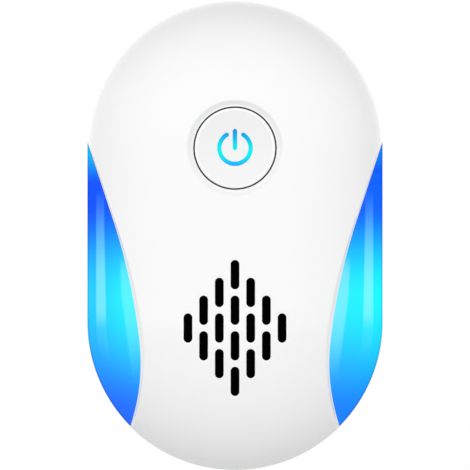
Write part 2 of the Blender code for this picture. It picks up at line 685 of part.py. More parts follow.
def make_inductor(build, centre):
    top = BOARD_BACK - GAP
    low = top - 9.0 * MM
    radius = 4.4 * MM
    drum = 2.0 * MM
    plate = 1.3 * MM
    core = [(0.0, top), (radius, top), (radius, top - plate), (drum, top - plate), (drum, low + plate),
            (radius, low + plate), (radius, low), (0.0, low)]
    build.turned("inductor_core", core, "ferrite", centre, 24)
    inner = drum + GAP
    winding_top = top - plate - GAP
    winding_low = low + plate + GAP
    winding = [(inner, winding_top), (3.7 * MM, winding_top), (4.0 * MM, winding_top - 0.5 * MM),
               (4.0 * MM, winding_low + 0.5 * MM), (3.7 * MM, winding_low), (inner, winding_low)]
    build.turned("inductor_winding", winding, "copper", centre, 24)


def make_chip(build, name, centre, size, leg_places, leg_size, material="black"):
    """A moulded package on the back of the board, with a row of legs on each side."""
    top = BOARD_BACK - GAP
    body_depth = top - 0.5 * MM - size[2] / 2
    chip = build.blocks(name, [(0.0, 0.0, 0.0)], size, material, 0.25 * MM, (*centre, body_depth))
    leg_depth = top - leg_size[2] / 2
    leg_centres = [(centre[0] + x, centre[1] + up, leg_depth) for x, up in leg_places]
    legs = build.blocks(name + "_legs", leg_centres, leg_size)
    combine(chip, "UNION", legs)


def make_chips(build):
    pitch = 2.54 * MM
    driver_legs = [((column - 1.5) * pitch, row * 3.4 * MM) for column in range(4) for row in (-1, 1)]
    make_chip(build, "driver_chip", (0.0, -24.0 * MM), (9.3 * MM, 6.4 * MM, 3.3 * MM), driver_legs,
              (0.5 * MM, 0.9 * MM, 1.9 * MM))
    bridge_legs = [(column * 1.25 * MM, row * 2.0 * MM) for column in (-1, 1) for row in (-1, 1)]
    make_chip(build, "bridge_rectifier", (0.0, 19.5 * MM), (4.7 * MM, 3.9 * MM, 2.4 * MM), bridge_legs,
              (0.7 * MM, 1.2 * MM, 1.4 * MM))
    film_legs = [(0.0, -5.0 * MM), (0.0, 5.0 * MM)]
    make_chip(build, "film_capacitor", (0.0, -10.5 * MM), (5.5 * MM, 12.6 * MM, 9.0 * MM), film_legs,
              (0.6 * MM, 0.6 * MM, 1.4 * MM), "film")


def make_transistor(build, centre):
    """A half-round package standing on three legs."""
    top = BOARD_BACK - GAP
    radius = 2.3 * MM
    round_side = arc((0.0, 0.0), radius, math.radians(-40), math.radians(220), 12)
    body = build.prism("output_transistor", [round_side], top - 6.5 * MM, top - 2.0 * MM, "black", centre)
    legs = build.blocks("transistor_legs", [(centre[0] + column * 1.27 * MM, centre[1], top - 1.4 * MM)
                                            for column in (-1, 0, 1)], (0.45 * MM, 0.4 * MM, 2.8 * MM))
    combine(body, "UNION", legs)


def make_standing_parts(build):
    """The surge disc stands on edge and the fusible resistor lies flat, both on wire legs."""
    top = BOARD_BACK - GAP
    disc = (8.6 * MM, 18.6 * MM)
    disc_radius = 3.4 * MM
    disc_depth = top - 1.2 * MM - disc_radius
    half = 1.5 * MM
    flat = 2.6 * MM
    rim = 0.5 * MM
    profile = [(0.0, half), (flat, half), (disc_radius, rim), (disc_radius, -rim), (flat, -half),
               (0.0, -half)]
    varistor = build.turned("surge_varistor", profile, "varistor", disc, 20,
                            (math.pi / 2, 0.0, 0.0), disc_depth)
    legs = build.cylinders("varistor_legs", [(disc[0] + side * 1.9 * MM, disc[1]) for side in (-1, 1)],
                           0.35 * MM, top - 3.2 * MM, top, steps=8)
    combine(varistor, "UNION", legs)

    place = (-5.0 * MM, 24.6 * MM)
    body_half = 3.6 * MM
    lead_half = 5.2 * MM
    lead = 0.35 * MM
    body_radius = 1.5 * MM
    resistor_depth = top - 2.2 * MM
    end_radius = 1.1 * MM
    straight = 3.1 * MM
    upper = [(0.0, lead_half), (lead, lead_half), (lead, body_half), (end_radius, body_half),
             (body_radius, straight)]
    profile = upper + [(radius, -height) for radius, height in reversed(upper)]
    resistor = build.turned("fuse_resistor", profile, "resistor", place, 12,
                            (0.0, math.pi / 2, 0.0), resistor_depth)
    ends = [(place[0] + side * (lead_half - lead), place[1]) for side in (-1, 1)]
    drops = build.cylinders("resistor_legs", ends, 0.3 * MM, resistor_depth, top, steps=8)
    combine(resistor, "UNION", drops)


# ---------------------------------------------------------------- plug and wiring

def make_plug(build):
    slot_size = (BLADE_THICKNESS + 2 * GAP, BLADE_WIDTH + 2 * GAP)
    middle = (0.0, PLUG_UP)
    slots = [rectangle((side * BLADE_SPACING / 2, 0.0), *slot_size) for side in (-1, 1)]
    block = rectangle((0.0, 0.0), 22.0 * MM, 11.0 * MM, 1.2 * MM)
    build.prism("plug_holder", [block] + slots, FLOOR + GAP, 7.0 * MM, "black", middle)

    tip = BLADE_REACH
    half = BLADE_WIDTH / 2
    tab = 2.0 * MM
    chamfer = 1.3 * MM
    neck = -7.2 * MM
    shoulder = -6.4 * MM
    upper = [(tip, half - chamfer), (tip - chamfer, half), (shoulder, half), (neck, tab),
             (-BLADE_INNER, tab)]
    outline = [(along, -across) for along, across in reversed(upper)] + upper
    hole = circle(BLADE_HOLE_RADIUS, 16, (tip - 4.8 * MM, 0.0))
    for side, name in ((-1, "left"), (1, "right")):
        blade = build.prism(name + "_blade", [outline, hole], -BLADE_THICKNESS / 2,
                            BLADE_THICKNESS / 2, "nickel", (side * BLADE_SPACING / 2, PLUG_UP),
                            (0.0, math.pi / 2, 0.0))
        edge = blade.modifiers.new("edges", "BEVEL")
        edge.width = 0.2 * MM
        edge.segments = 1


def make_wires(build):
    """Leads whose ends stop just short of the pieces that they are soldered to."""
    blade_end = BLADE_INNER + GAP
    pad = BOARD_BACK - GAP
    for side, name, colour in ((-1, "live_wire", "red"), (1, "neutral_wire", "black")):
        x = side * BLADE_SPACING / 2
        route = [(x, PLUG_UP, blade_end), (x, PLUG_UP + 1.0 * MM, blade_end + 1.6 * MM),
                 (x + side * 1.5 * MM, PLUG_UP + 4.0 * MM, blade_end + 2.4 * MM),
                 (x + side * 3.0 * MM, PLUG_UP + 5.6 * MM, pad - 1.2 * MM),
                 (x + side * 3.2 * MM, PLUG_UP + 5.8 * MM, pad)]
        build.wire(name, route, 0.7 * MM, colour)
    ceramic_back = SPEAKER_FRONT - 5.3 * MM - GAP
    board = BOARD_FRONT + GAP
    for side, name, colour in ((-1, "speaker_wire_black", "black"), (1, "speaker_wire_red", "red")):
        x = side * 1.8 * MM
        route = [(x, GRILLE_UP, ceramic_back), (x, GRILLE_UP + 0.8 * MM, SPEAKER_BACK - 0.6 * MM),
                 (x + side * 1.2 * MM, GRILLE_UP + 5.0 * MM, 17.5 * MM),
                 (x + side * 2.4 * MM, GRILLE_UP + 9.0 * MM, 17.3 * MM),
                 (x + side * 2.6 * MM, GRILLE_UP + 10.0 * MM, board)]
        build.wire(name, route, 0.45 * MM, colour)


def main():
    clear_scene()
    build = Builder()
    make_front_cover(build)
    make_rear_cover(build)
    make_light_panel(build, -1, "left")
    make_light_panel(build, 1, "right")
    make_fasteners(build)
    make_button(build)
    make_switch(build)
    make_leds(build)
    make_speaker(build)
    make_board(build)
    make_capacitor(build, "input_capacitor", (-10.5 * MM, -5.0 * MM), 4.0 * MM, 10.3 * MM)
    make_capacitor(build, "output_capacitor", (-10.5 * MM, -15.5 * MM), 3.2 * MM, 10.0 * MM)
    make_inductor(build, (10.0 * MM, -7.0 * MM))
    make_chips(build)
    make_transistor(build, (9.0 * MM, -18.0 * MM))
    make_standing_parts(build)
    make_plug(build)
    make_wires(build)


main()
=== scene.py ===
"""Looks of the plug-in ultrasonic pest repeller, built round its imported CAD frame.

Metres, +Z up, the front faces -Y, and the flat back face is at y = 0. A depth is a
distance forward of the back face, so y = -depth. Shells are drawn in a flat plan, where
each point is as far from the middle line as it is along the surface, and rolled onto
the section of the shell.
"""

import json
import math

import bmesh
import bpy
import numpy as np
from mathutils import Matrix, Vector
from mathutils.geometry import delaunay_2d_cdt

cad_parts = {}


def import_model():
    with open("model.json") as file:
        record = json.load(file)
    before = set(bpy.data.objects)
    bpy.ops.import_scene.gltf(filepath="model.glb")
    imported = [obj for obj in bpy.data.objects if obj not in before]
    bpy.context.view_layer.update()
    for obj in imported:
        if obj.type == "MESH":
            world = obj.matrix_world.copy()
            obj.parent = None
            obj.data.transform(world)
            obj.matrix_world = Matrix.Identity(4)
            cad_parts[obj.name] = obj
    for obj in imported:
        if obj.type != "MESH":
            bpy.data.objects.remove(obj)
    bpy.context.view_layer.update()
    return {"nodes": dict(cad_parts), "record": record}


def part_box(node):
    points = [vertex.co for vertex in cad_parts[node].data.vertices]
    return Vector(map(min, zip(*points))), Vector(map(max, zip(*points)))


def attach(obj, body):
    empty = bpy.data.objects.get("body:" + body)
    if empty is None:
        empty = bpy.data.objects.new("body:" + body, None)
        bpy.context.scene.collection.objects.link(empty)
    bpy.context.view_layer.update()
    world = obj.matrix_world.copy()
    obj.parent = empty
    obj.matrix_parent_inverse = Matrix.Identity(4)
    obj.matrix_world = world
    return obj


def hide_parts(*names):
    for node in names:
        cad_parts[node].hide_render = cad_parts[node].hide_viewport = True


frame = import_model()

MM = 0.001

# ---------------------------------------------------------------- sizes, from the frame

REAR_LOW, REAR_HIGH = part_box("rear_cover")
FRONT_LOW, FRONT_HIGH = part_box("front_cover")
CAP_LOW, CAP_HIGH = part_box("button_cap")
CLOTH_LOW, CLOTH_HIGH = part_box("grille_cloth")

END_RADIUS = (REAR_HIGH.x - REAR_LOW.x) / 2
HALF_STRAIGHT = (REAR_HIGH.z - REAR_LOW.z) / 2 - END_RADIUS
MIDDLE_UP = (REAR_HIGH.z + REAR_LOW.z) / 2
DEPTH = -FRONT_LOW.y
FRONT_RIM = -FRONT_HIGH.y
GAP = 0.3 * MM                         # clearance between pieces that touch
REAR_RIM = FRONT_RIM - GAP
BUTTON_UP = (CAP_LOW.z + CAP_HIGH.z) / 2 - MIDDLE_UP
BUTTON_FACE = -CAP_LOW.y
GRILLE_UP = (CLOTH_LOW.z + CLOTH_HIGH.z) / 2 - MIDDLE_UP

# Front shell: superellipse dome on a short straight skirt.
DOME_START = 12.2 * MM
DOME_ACROSS = 2.8
DOME_DEEP = 2.2
WALL = 2.0 * MM
SKIN = 1.0 * MM
EDGE_ROUND = 0.25 * MM
SLOT_ROUND = 0.12 * MM
STRAIGHT_WALLS = (17.0 * MM, 24.0 * MM)  # walls turn from straight back to the surface's normal
EDGE_SPACING = 0.45 * MM               # between points along a window's edge
FILL = 0.8 * MM                        # between points on open surface

# Side light panels.
PANEL_TOP = (-29.95 * MM, 19.05 * MM)
PANEL_LEAN = math.radians(18.3)
PANEL_LINE_END_UP = 3.2 * MM
PANEL_UPPER_RADIUS = 123.0 * MM
PANEL_UPPER_ARC_END_UP = -21.0 * MM
PANEL_LOWER_RADIUS = 40.0 * MM
PANEL_SINK = 1.0 * MM
PANEL_GAP = 0.04 * MM
PANEL_THICKNESS = 2.8 * MM
PANEL_GRID_REACH = 14.0 * MM           # across the panel at its widest
LAND_WIDTH = 0.15 * MM
LAND_SLOPE_WIDTH = 1.1 * MM
LAND_DEPTH = 0.75 * MM
LAND_FULL_UP = 6.0 * MM
LAND_RINGS = (0.06, 0.15, 0.25, 0.4, 0.6, 0.8, 1.0, 1.15, 1.25, 1.45)  # mm out from the window

# Sound slots.
SLOT_WIDTH = 1.75 * MM
SLOT_LENGTH = 5.9 * MM
COLUMN_PITCH = 3.16 * MM
SLOT_PITCH = 7.17 * MM
LONGEST_COLUMN = 4

# Button.
CAP_RADIUS = 8.1 * MM
HOLE_RADIUS = 8.4 * MM
CAP_BACK = 28.3 * MM
DISH_WALL = (8.65 * MM, 9.82 * MM)
DISH_DEPTH = 0.80 * MM
CAP_HOLLOW = 0.5 * MM
CAP_CORNER = 0.4 * MM
SYMBOL_RADIUS = 3.16 * MM
SYMBOL_STROKE = 0.88 * MM
SYMBOL_OPENING = math.radians(31.6)
SYMBOL_BAR = (-0.4 * MM, 3.9 * MM)

# Rear shell.
FLOOR = 2.2 * MM
BACK_EDGE_RADIUS = 4.0 * MM
BACK_DRAFT = 0.6 * MM
HEAD_RECESS_RADIUS = 3.0 * MM
RECESS_FRONT = 4.0 * MM
SCREW_BOSS_RADIUS = 4.2 * MM
SCREW_BOSS_FRONT = 10.1 * MM
SCREW_SHAFT_RADIUS = 1.7 * MM
SCREW_SHAFT = (3.0 * MM, 12.0 * MM)
TONGUE_THICKNESS = 0.9 * MM
BLADE_SLOT_CORNER = 0.25 * MM

# Studio light by direction. The last three darken or fill whole sides of the room.
LIGHT = {"flat": 1.25, "front": 0.5, "left": 0.08, "both_sides": -0.2,
         "above_and_below": -0.9, "back_fill": 0.6}
CAMERA_DISTANCE = 3.0
FLOOR_RADIUS = 6.0
FLOOR_DROP = 0.16                      # below the part, so that its shadow stays soft


# ---------------------------------------------------------------- sections and plans

class Section:
    """Half the section of a shell, from its middle out to its rim, by distance along it."""

    def __init__(self, points):
        points = np.array(points)
        steps = np.hypot(*np.diff(points, axis=0).T)
        self.run = np.concatenate([[0.0], np.cumsum(steps)])
        self.radius, self.depth = points.T
        tangent = np.gradient(points, self.run, axis=0)
        tangent /= np.linalg.norm(tangent, axis=1)[:, None]
        self.normal_out = -tangent[:, 1]
        self.normal_forward = tangent[:, 0]
        self.rim = self.run[-1]

    def at(self, run):
        return [np.interp(run, self.run, value)
                for value in (self.radius, self.depth, self.normal_out, self.normal_forward)]


def dome_section():
    points = []
    for turn in np.linspace(math.pi / 2, 0.0, 600):
        radius = END_RADIUS * max(math.cos(turn), 0.0) ** (2 / DOME_ACROSS)
        rise = (DEPTH - DOME_START) * max(math.sin(turn), 0.0) ** (2 / DOME_DEEP)
        points.append((radius, DOME_START + rise))
    skirt = [(END_RADIUS, depth) for depth in np.linspace(DOME_START, FRONT_RIM, 20)[1:]]
    points[0] = (0.0, DEPTH)
    return Section(points + skirt)


def cap_section():
    """A face hollowed for the finger, with a small rounded edge and a straight skirt."""
    flat = CAP_RADIUS - CAP_CORNER
    points = [(r, BUTTON_FACE - CAP_HOLLOW * (1 - (r / flat) ** 2)) for r in np.linspace(0.0, flat, 60)]
    top = points[-1][1]
    corner = CAP_CORNER
    turns = np.linspace(math.pi / 2, 0.0, 16)[1:]
    points += [(flat + corner * math.cos(turn), top - corner + corner * math.sin(turn)) for turn in turns]
    points += [(CAP_RADIUS, depth) for depth in np.linspace(top - corner, CAP_BACK, 20)[1:]]
    return Section(points)


FRONT = dome_section()


def split_plan(plan, half):
    """Each point's place on the middle line, its direction from it and its distance."""
    middle = np.clip(plan[:, 1], -half, half)
    offset = np.stack([plan[:, 0], plan[:, 1] - middle], axis=1)
    run = np.hypot(*offset.T)
    direction = offset / np.maximum(run, 1e-9)[:, None]
    return middle, direction, run


def roll(section, half, plan, inset=0.0):
    """Plan points as (x, up, depth) on the section's surface, inset towards its inside.

    Near the middle the inset is straight back, so that the walls of openings are straight
    too, as in a moulding; towards the rim it turns to the surface's own normal.
    """
    middle, direction, run = split_plan(plan, half)
    radius, depth, out, forward = section.at(run)
    share = np.clip((run - STRAIGHT_WALLS[0]) / (STRAIGHT_WALLS[1] - STRAIGHT_WALLS[0]), 0.0, 1.0)
    flat = direction * (radius - inset * out * share)[:, None]
    return np.stack([flat[:, 0], middle + flat[:, 1], depth - inset * (forward * share + 1 - share)], axis=1)


def unroll(section, half, points):
    """Where (x, up) points, seen from the front, lie in the plan."""
    points = np.asarray(points, float)
    middle, direction, radius = split_plan(points, half)
    run = np.interp(radius, section.radius, section.run)
    flat = direction * run[:, None]
    return np.stack([flat[:, 0], middle + flat[:, 1]], axis=1)


def resample(points, spacing):
    """The same open line with evenly spaced points."""
    points = np.asarray(points, float)
    lengths = np.concatenate([[0.0], np.cumsum(np.hypot(*np.diff(points, axis=0).T))])
    count = max(2, int(round(lengths[-1] / spacing)) + 1)
    where = np.linspace(0.0, lengths[-1], count)
    return np.stack([np.interp(where, lengths, points[:, k]) for k in (0, 1)], axis=1)


def line_distance(points, line):
    """Distance of each point from a polyline."""
    start, end = line[:-1], line[1:]
    along = end - start
    best = np.full(len(points), np.inf)
    for origin, step in zip(start, along):
        share = np.clip((points - origin) @ step / max(step @ step, 1e-18), 0.0, 1.0)
        best = np.minimum(best, np.hypot(*(points - origin - share[:, None] * step).T))
    return best


def round_edge(distance, radius):
    """How deep a quarter-round edge lies at a distance from the cut."""
    inside = np.clip(radius - distance, 0.0, radius)
    return radius - np.sqrt(np.maximum(radius ** 2 - inside ** 2, 0.0))


def ease(share, bend=0.22):
    """From 0 to 1 along a straight slope with short bends at its ends."""
    share = np.clip(share, 0.0, 1.0)
    slope = 1 / (1 - bend)
    low = slope * share ** 2 / (2 * bend)
    high = 1 - slope * (1 - share) ** 2 / (2 * bend)
    return np.where(share < bend, low, np.where(share > 1 - bend, high, slope * (share - bend / 2)))


def round_edge_rings(radius, steps=4):
    """Distances from the cut at which a quarter-round edge needs points."""
    return [radius * (1 - math.sin(math.pi / 2 * (1 - k / steps))) for k in range(steps + 1)]


# ---------------------------------------------------------------- outlines

def arc(centre, radius, start, end, steps):
    turns = [start + (end - start) * k / steps for k in range(steps + 1)]
    return [(centre[0] + radius * math.cos(t), centre[1] + radius * math.sin(t)) for t in turns]


def on_circle(radius, turn):
    return radius * math.cos(turn), radius * math.sin(turn)


def circle(radius, steps, centre=(0.0, 0.0)):
    return arc(centre, radius, 0.0, 2 * math.pi, steps)[:-1]


def obround(centre, width, length, steps=10, side_steps=5):
    half = (length - width) / 2
    points = arc((centre[0], centre[1] + half), width / 2, 0.0, math.pi, steps)
    points += arc((centre[0], centre[1] - half), width / 2, math.pi, 2 * math.pi, steps)
    closed = points + points[:1]
    full = []
    for index, (a, b) in enumerate(zip(closed, closed[1:])):
        parts = side_steps if index in (steps, 2 * steps + 1) else 1
        full += [(a[0] + (b[0] - a[0]) * k / parts, a[1] + (b[1] - a[1]) * k / parts) for k in range(parts)]
    return full


def oval_ring(run, half, spacing):
    """Points round the middle line at one distance, evenly spaced."""
    if run < spacing / 2:
        count = max(1, int(round(2 * half / spacing)))
        return [(0.0, -half + 2 * half * k / count) for k in range(count + 1)]
    turns = max(3, int(round(math.pi * run / spacing / 2))) * 2
    sides = max(1, int(round(2 * half / spacing))) if half else 1
    top = arc((0.0, half), run, 0.0, math.pi, turns)
    bottom = arc((0.0, -half), run, math.pi, 2 * math.pi, turns)
    if not half:
        return top[:-1] + bottom[:-1]
    left = [(-run, half - 2 * half * k / sides) for k in range(1, sides)]
    right = [(run, -half + 2 * half * k / sides) for k in range(1, sides)]
    return top + left + bottom + right


def slot_centres():
    centres = []
    for column in range(1 - LONGEST_COLUMN, LONGEST_COLUMN):
        count = LONGEST_COLUMN - abs(column)
        for row in range(count):
            centres.append((column * COLUMN_PITCH, GRILLE_UP + (row - (count - 1) / 2) * SLOT_PITCH))
    return centres


def slot_distance(points):
    """Distance outside the nearest sound slot; negative inside it."""
    half = (SLOT_LENGTH - SLOT_WIDTH) / 2
    best = np.full(len(points), np.inf)
    for x, up in slot_centres():
        rise = points[:, 1] - up
        rise = rise - np.clip(rise, -half, half)
        best = np.minimum(best, np.hypot(points[:, 0] - x, rise) - SLOT_WIDTH / 2)
    return best


def panel_edge():
    """The left panel's inner edge, seen from the front, from its top tip to past its bottom one."""
    lean = PANEL_LEAN
    run = PANEL_TOP[1] - PANEL_LINE_END_UP
    line_end = (PANEL_TOP[0] + run * math.tan(lean), PANEL_LINE_END_UP)
    upper = (line_end[0] - PANEL_UPPER_RADIUS * math.cos(lean),
             line_end[1] - PANEL_UPPER_RADIUS * math.sin(lean))
    turn = math.asin((PANEL_UPPER_ARC_END_UP - upper[1]) / PANEL_UPPER_RADIUS)
    inward = PANEL_UPPER_RADIUS - PANEL_LOWER_RADIUS
    lower = (upper[0] + inward * math.cos(turn), upper[1] + inward * math.sin(turn))
    line = [(PANEL_TOP[0] + (line_end[0] - PANEL_TOP[0]) * k / 200, PANEL_TOP[1] - run * k / 200)
            for k in range(200)]
    above = (PANEL_TOP[0] - MM * math.tan(lean), PANEL_TOP[1] + MM)
    return np.array([above] + line + arc(upper, PANEL_UPPER_RADIUS, lean, turn, 150)
                    + arc(lower, PANEL_LOWER_RADIUS, turn, math.radians(-25), 400)[1:])


PANEL_EDGE = panel_edge()
TIP_TOP = PANEL_TOP[1]


def sink_share(plan):
    """How much of its depth the land round a window has: none at the top tip and the rim."""
    middle, direction, run = split_plan(plan, HALF_STRAIGHT)
    radius, _, _, forward = FRONT.at(run)
    up = middle + direction[:, 1] * radius
    return np.clip((TIP_TOP - up) / (TIP_TOP - LAND_FULL_UP), 0.0, 1.0) * np.clip(forward / 0.5, 0.0, 1.0)


def window_line(spacing):
    """The left window's edge in the plan, from rim to rim.

    The land round the window is sunk, which moves its points inward, so the line lies that
    much further out than the edge that is seen from the front.
    """
    radius = split_plan(PANEL_EDGE, HALF_STRAIGHT)[2]
    seen = PANEL_EDGE[radius < END_RADIUS - 0.002 * MM]
    line = unroll(FRONT, HALF_STRAIGHT, seen)
    for _ in range(4):
        sunk = roll(FRONT, HALF_STRAIGHT, line, LAND_DEPTH * sink_share(line))
        level = roll(FRONT, HALF_STRAIGHT, line)
        wanted = seen - (sunk[:, :2] - level[:, :2])
        middle, direction, radius = split_plan(wanted, HALF_STRAIGHT)
        limit = np.minimum(radius, END_RADIUS - 0.001 * MM)[:, None]
        wanted = direction * limit + np.stack([0 * middle, middle], axis=1)
        line = unroll(FRONT, HALF_STRAIGHT, wanted)
    middle, direction, _ = split_plan(line, HALF_STRAIGHT)
    ends = []
    for k in (0, -1):
        ends.append([direction[k, 0] * FRONT.rim, middle[k] + direction[k, 1] * FRONT.rim])
    return resample(np.vstack([ends[0], line, ends[1]]), spacing)


def in_window(plan, line):
    """True for plan points beyond the left window's edge, or its mirror image on the right."""
    polygon = np.vstack([line[0] * 1.8, line, line[-1] * 1.8])
    x, up = -np.abs(plan[:, 0]), plan[:, 1]
    inside = np.zeros(len(plan), bool)
    for (ax, ay), (bx, by) in zip(polygon, np.roll(polygon, -1, axis=0)):
        crosses = (ay > up) != (by > up)
        if ay != by:
            inside ^= crosses & (x < (bx - ax) * (up - ay) / (by - ay) + ax)
    return inside


def side_step(line, distance):
    """The line moved sideways, positive towards the panel on the left."""
    along = np.gradient(line, axis=0)
    along /= np.linalg.norm(along, axis=1)[:, None]
    return line + distance * np.stack([along[:, 1], -along[:, 0]], axis=1)


# ---------------------------------------------------------------- mesh making

def smooth_by_angle(item, degrees):
    item.data.shade_smooth()
    item.data.set_sharp_from_angle(angle=math.radians(degrees))


def new_object(name, verts, faces, sharp=40.0):
    mesh = bpy.data.meshes.new(name)
    mesh.from_pydata([tuple(v) for v in verts], [], [tuple(f) for f in faces])
    shape = bmesh.new()
    shape.from_mesh(mesh)
    bmesh.ops.remove_doubles(shape, verts=shape.verts, dist=1e-7)
    bmesh.ops.recalc_face_normals(shape, faces=shape.faces)
    shape.to_mesh(mesh)
    shape.free()
    item = bpy.data.objects.new(name, mesh)
    smooth_by_angle(item, sharp)
    bpy.context.scene.collection.objects.link(item)
    return item


def world(points, centre_up=0.0):
    """Body (x, up, depth) points as world coordinates."""
    points = np.asarray(points, float)
    return np.stack([points[:, 0], -points[:, 2], points[:, 1] + centre_up + MIDDLE_UP], axis=1)


def triangulate(loops, extra):
    """Triangles over closed or open loops of plan points and extra points."""
    coords = []
    edges = []
    for points, closed in loops:
        first = len(coords)
        coords += [tuple(p) for p in points]
        count = len(points)
        edges += [(first + k, first + (k + 1) % count) for k in range(count if closed else count - 1)]
    coords += [tuple(p) for p in extra]
    scaled = [Vector((x / MM, y / MM)) for x, y in coords]
    verts, _, faces, *_ = delaunay_2d_cdt(scaled, edges, [], 0, 1e-5, False)
    return np.array([(v.x * MM, v.y * MM) for v in verts]), np.array([f for f in faces if len(f) == 3])


def shell(name, section, half, loops, extra, keep, outer_inset, inner_inset, centre_up=0.0, sharp=40.0):
    """A closed shell: the kept triangles of the plan, rolled at two insets and joined at their edges."""
    plan, faces = triangulate(loops, extra)
    middle_points = plan[faces].mean(axis=1)
    kept = keep(middle_points, roll(section, half, middle_points)[:, :2])
    faces = faces[kept]
    used, faces = np.unique(faces, return_inverse=True)
    faces = faces.reshape(-1, 3)
    plan = plan[used]
    count = len(plan)
    seen = roll(section, half, plan)[:, :2]
    outer = roll(section, half, plan, outer_inset(plan, seen))
    inner = roll(section, half, plan, inner_inset(plan, seen))
    directed = np.concatenate([faces[:, [0, 1]], faces[:, [1, 2]], faces[:, [2, 0]]])
    present = set(map(tuple, directed.tolist()))
    border = [(a, b) for a, b in present if (b, a) not in present]
    all_faces = faces.tolist() + (faces[:, ::-1] + count).tolist()
    all_faces += [(b, a, a + count, b + count) for a, b in sorted(border)]
    return new_object(name, world(np.vstack([outer, inner]), centre_up), all_faces, sharp)


def turned(name, profile, place, steps=64, sharp=35.0, closed=False):
    """A solid of revolution about the depth axis from (radius, depth) points."""
    verts = []
    faces = []
    count = len(profile)
    for k in range(steps):
        turn = 2 * math.pi * k / steps
        verts += [(radius * math.cos(turn), radius * math.sin(turn), depth) for radius, depth in profile]
    for k in range(steps):
        here, there = k * count, (k + 1) % steps * count
        for j in range(count if closed else count - 1):
            after = (j + 1) % count
            faces.append((here + j, here + after, there + after, there + j))
    points = np.array(verts) + np.array([place[0], place[1], 0.0])
    return new_object(name, world(points), faces, sharp)


def loft(name, outlines, sharp=40.0):
    """A closed solid through equal-sized outlines, given as ([(x, up), ...], depth)."""
    count = len(outlines[0][0])
    verts = [(x, up, depth) for outline, depth in outlines for x, up in outline]
    faces = []
    for level in range(len(outlines) - 1):
        for k in range(count):
            a, b = level * count + k, level * count + (k + 1) % count
            faces.append((a, b, b + count, a + count))
    faces.append(tuple(range(count)))
    last = (len(outlines) - 1) * count
    faces.append(tuple(range(last + count - 1, last - 1, -1)))
    return new_object(name, world(verts), faces, sharp)


def rounded_box_outline(centre, width, height, corner, steps=6):
    points = []
    for sx, sy, start in ((1, 1, 0.0), (-1, 1, 0.5), (-1, -1, 1.0), (1, -1, 1.5)):
        middle = (centre[0] + sx * (width / 2 - corner), centre[1] + sy * (height / 2 - corner))
        points += arc(middle, corner, start * math.pi, (start + 0.5) * math.pi, steps)
    return points


def boolean(target, tool, operation):
    """Applies a Boolean to the target's mesh and removes the tool."""
    step = target.modifiers.new("cut", "BOOLEAN")
    step.operation = operation
    step.object = tool
    step.solver = "EXACT"
    graph = bpy.context.evaluated_depsgraph_get()
    mesh = bpy.data.meshes.new_from_object(target.evaluated_get(graph))
    target.modifiers.remove(step)
    old = target.data
    target.data = mesh
    bpy.data.meshes.remove(old)
    bpy.data.objects.remove(tool, do_unlink=True)


# ---------------------------------------------------------------- front cover

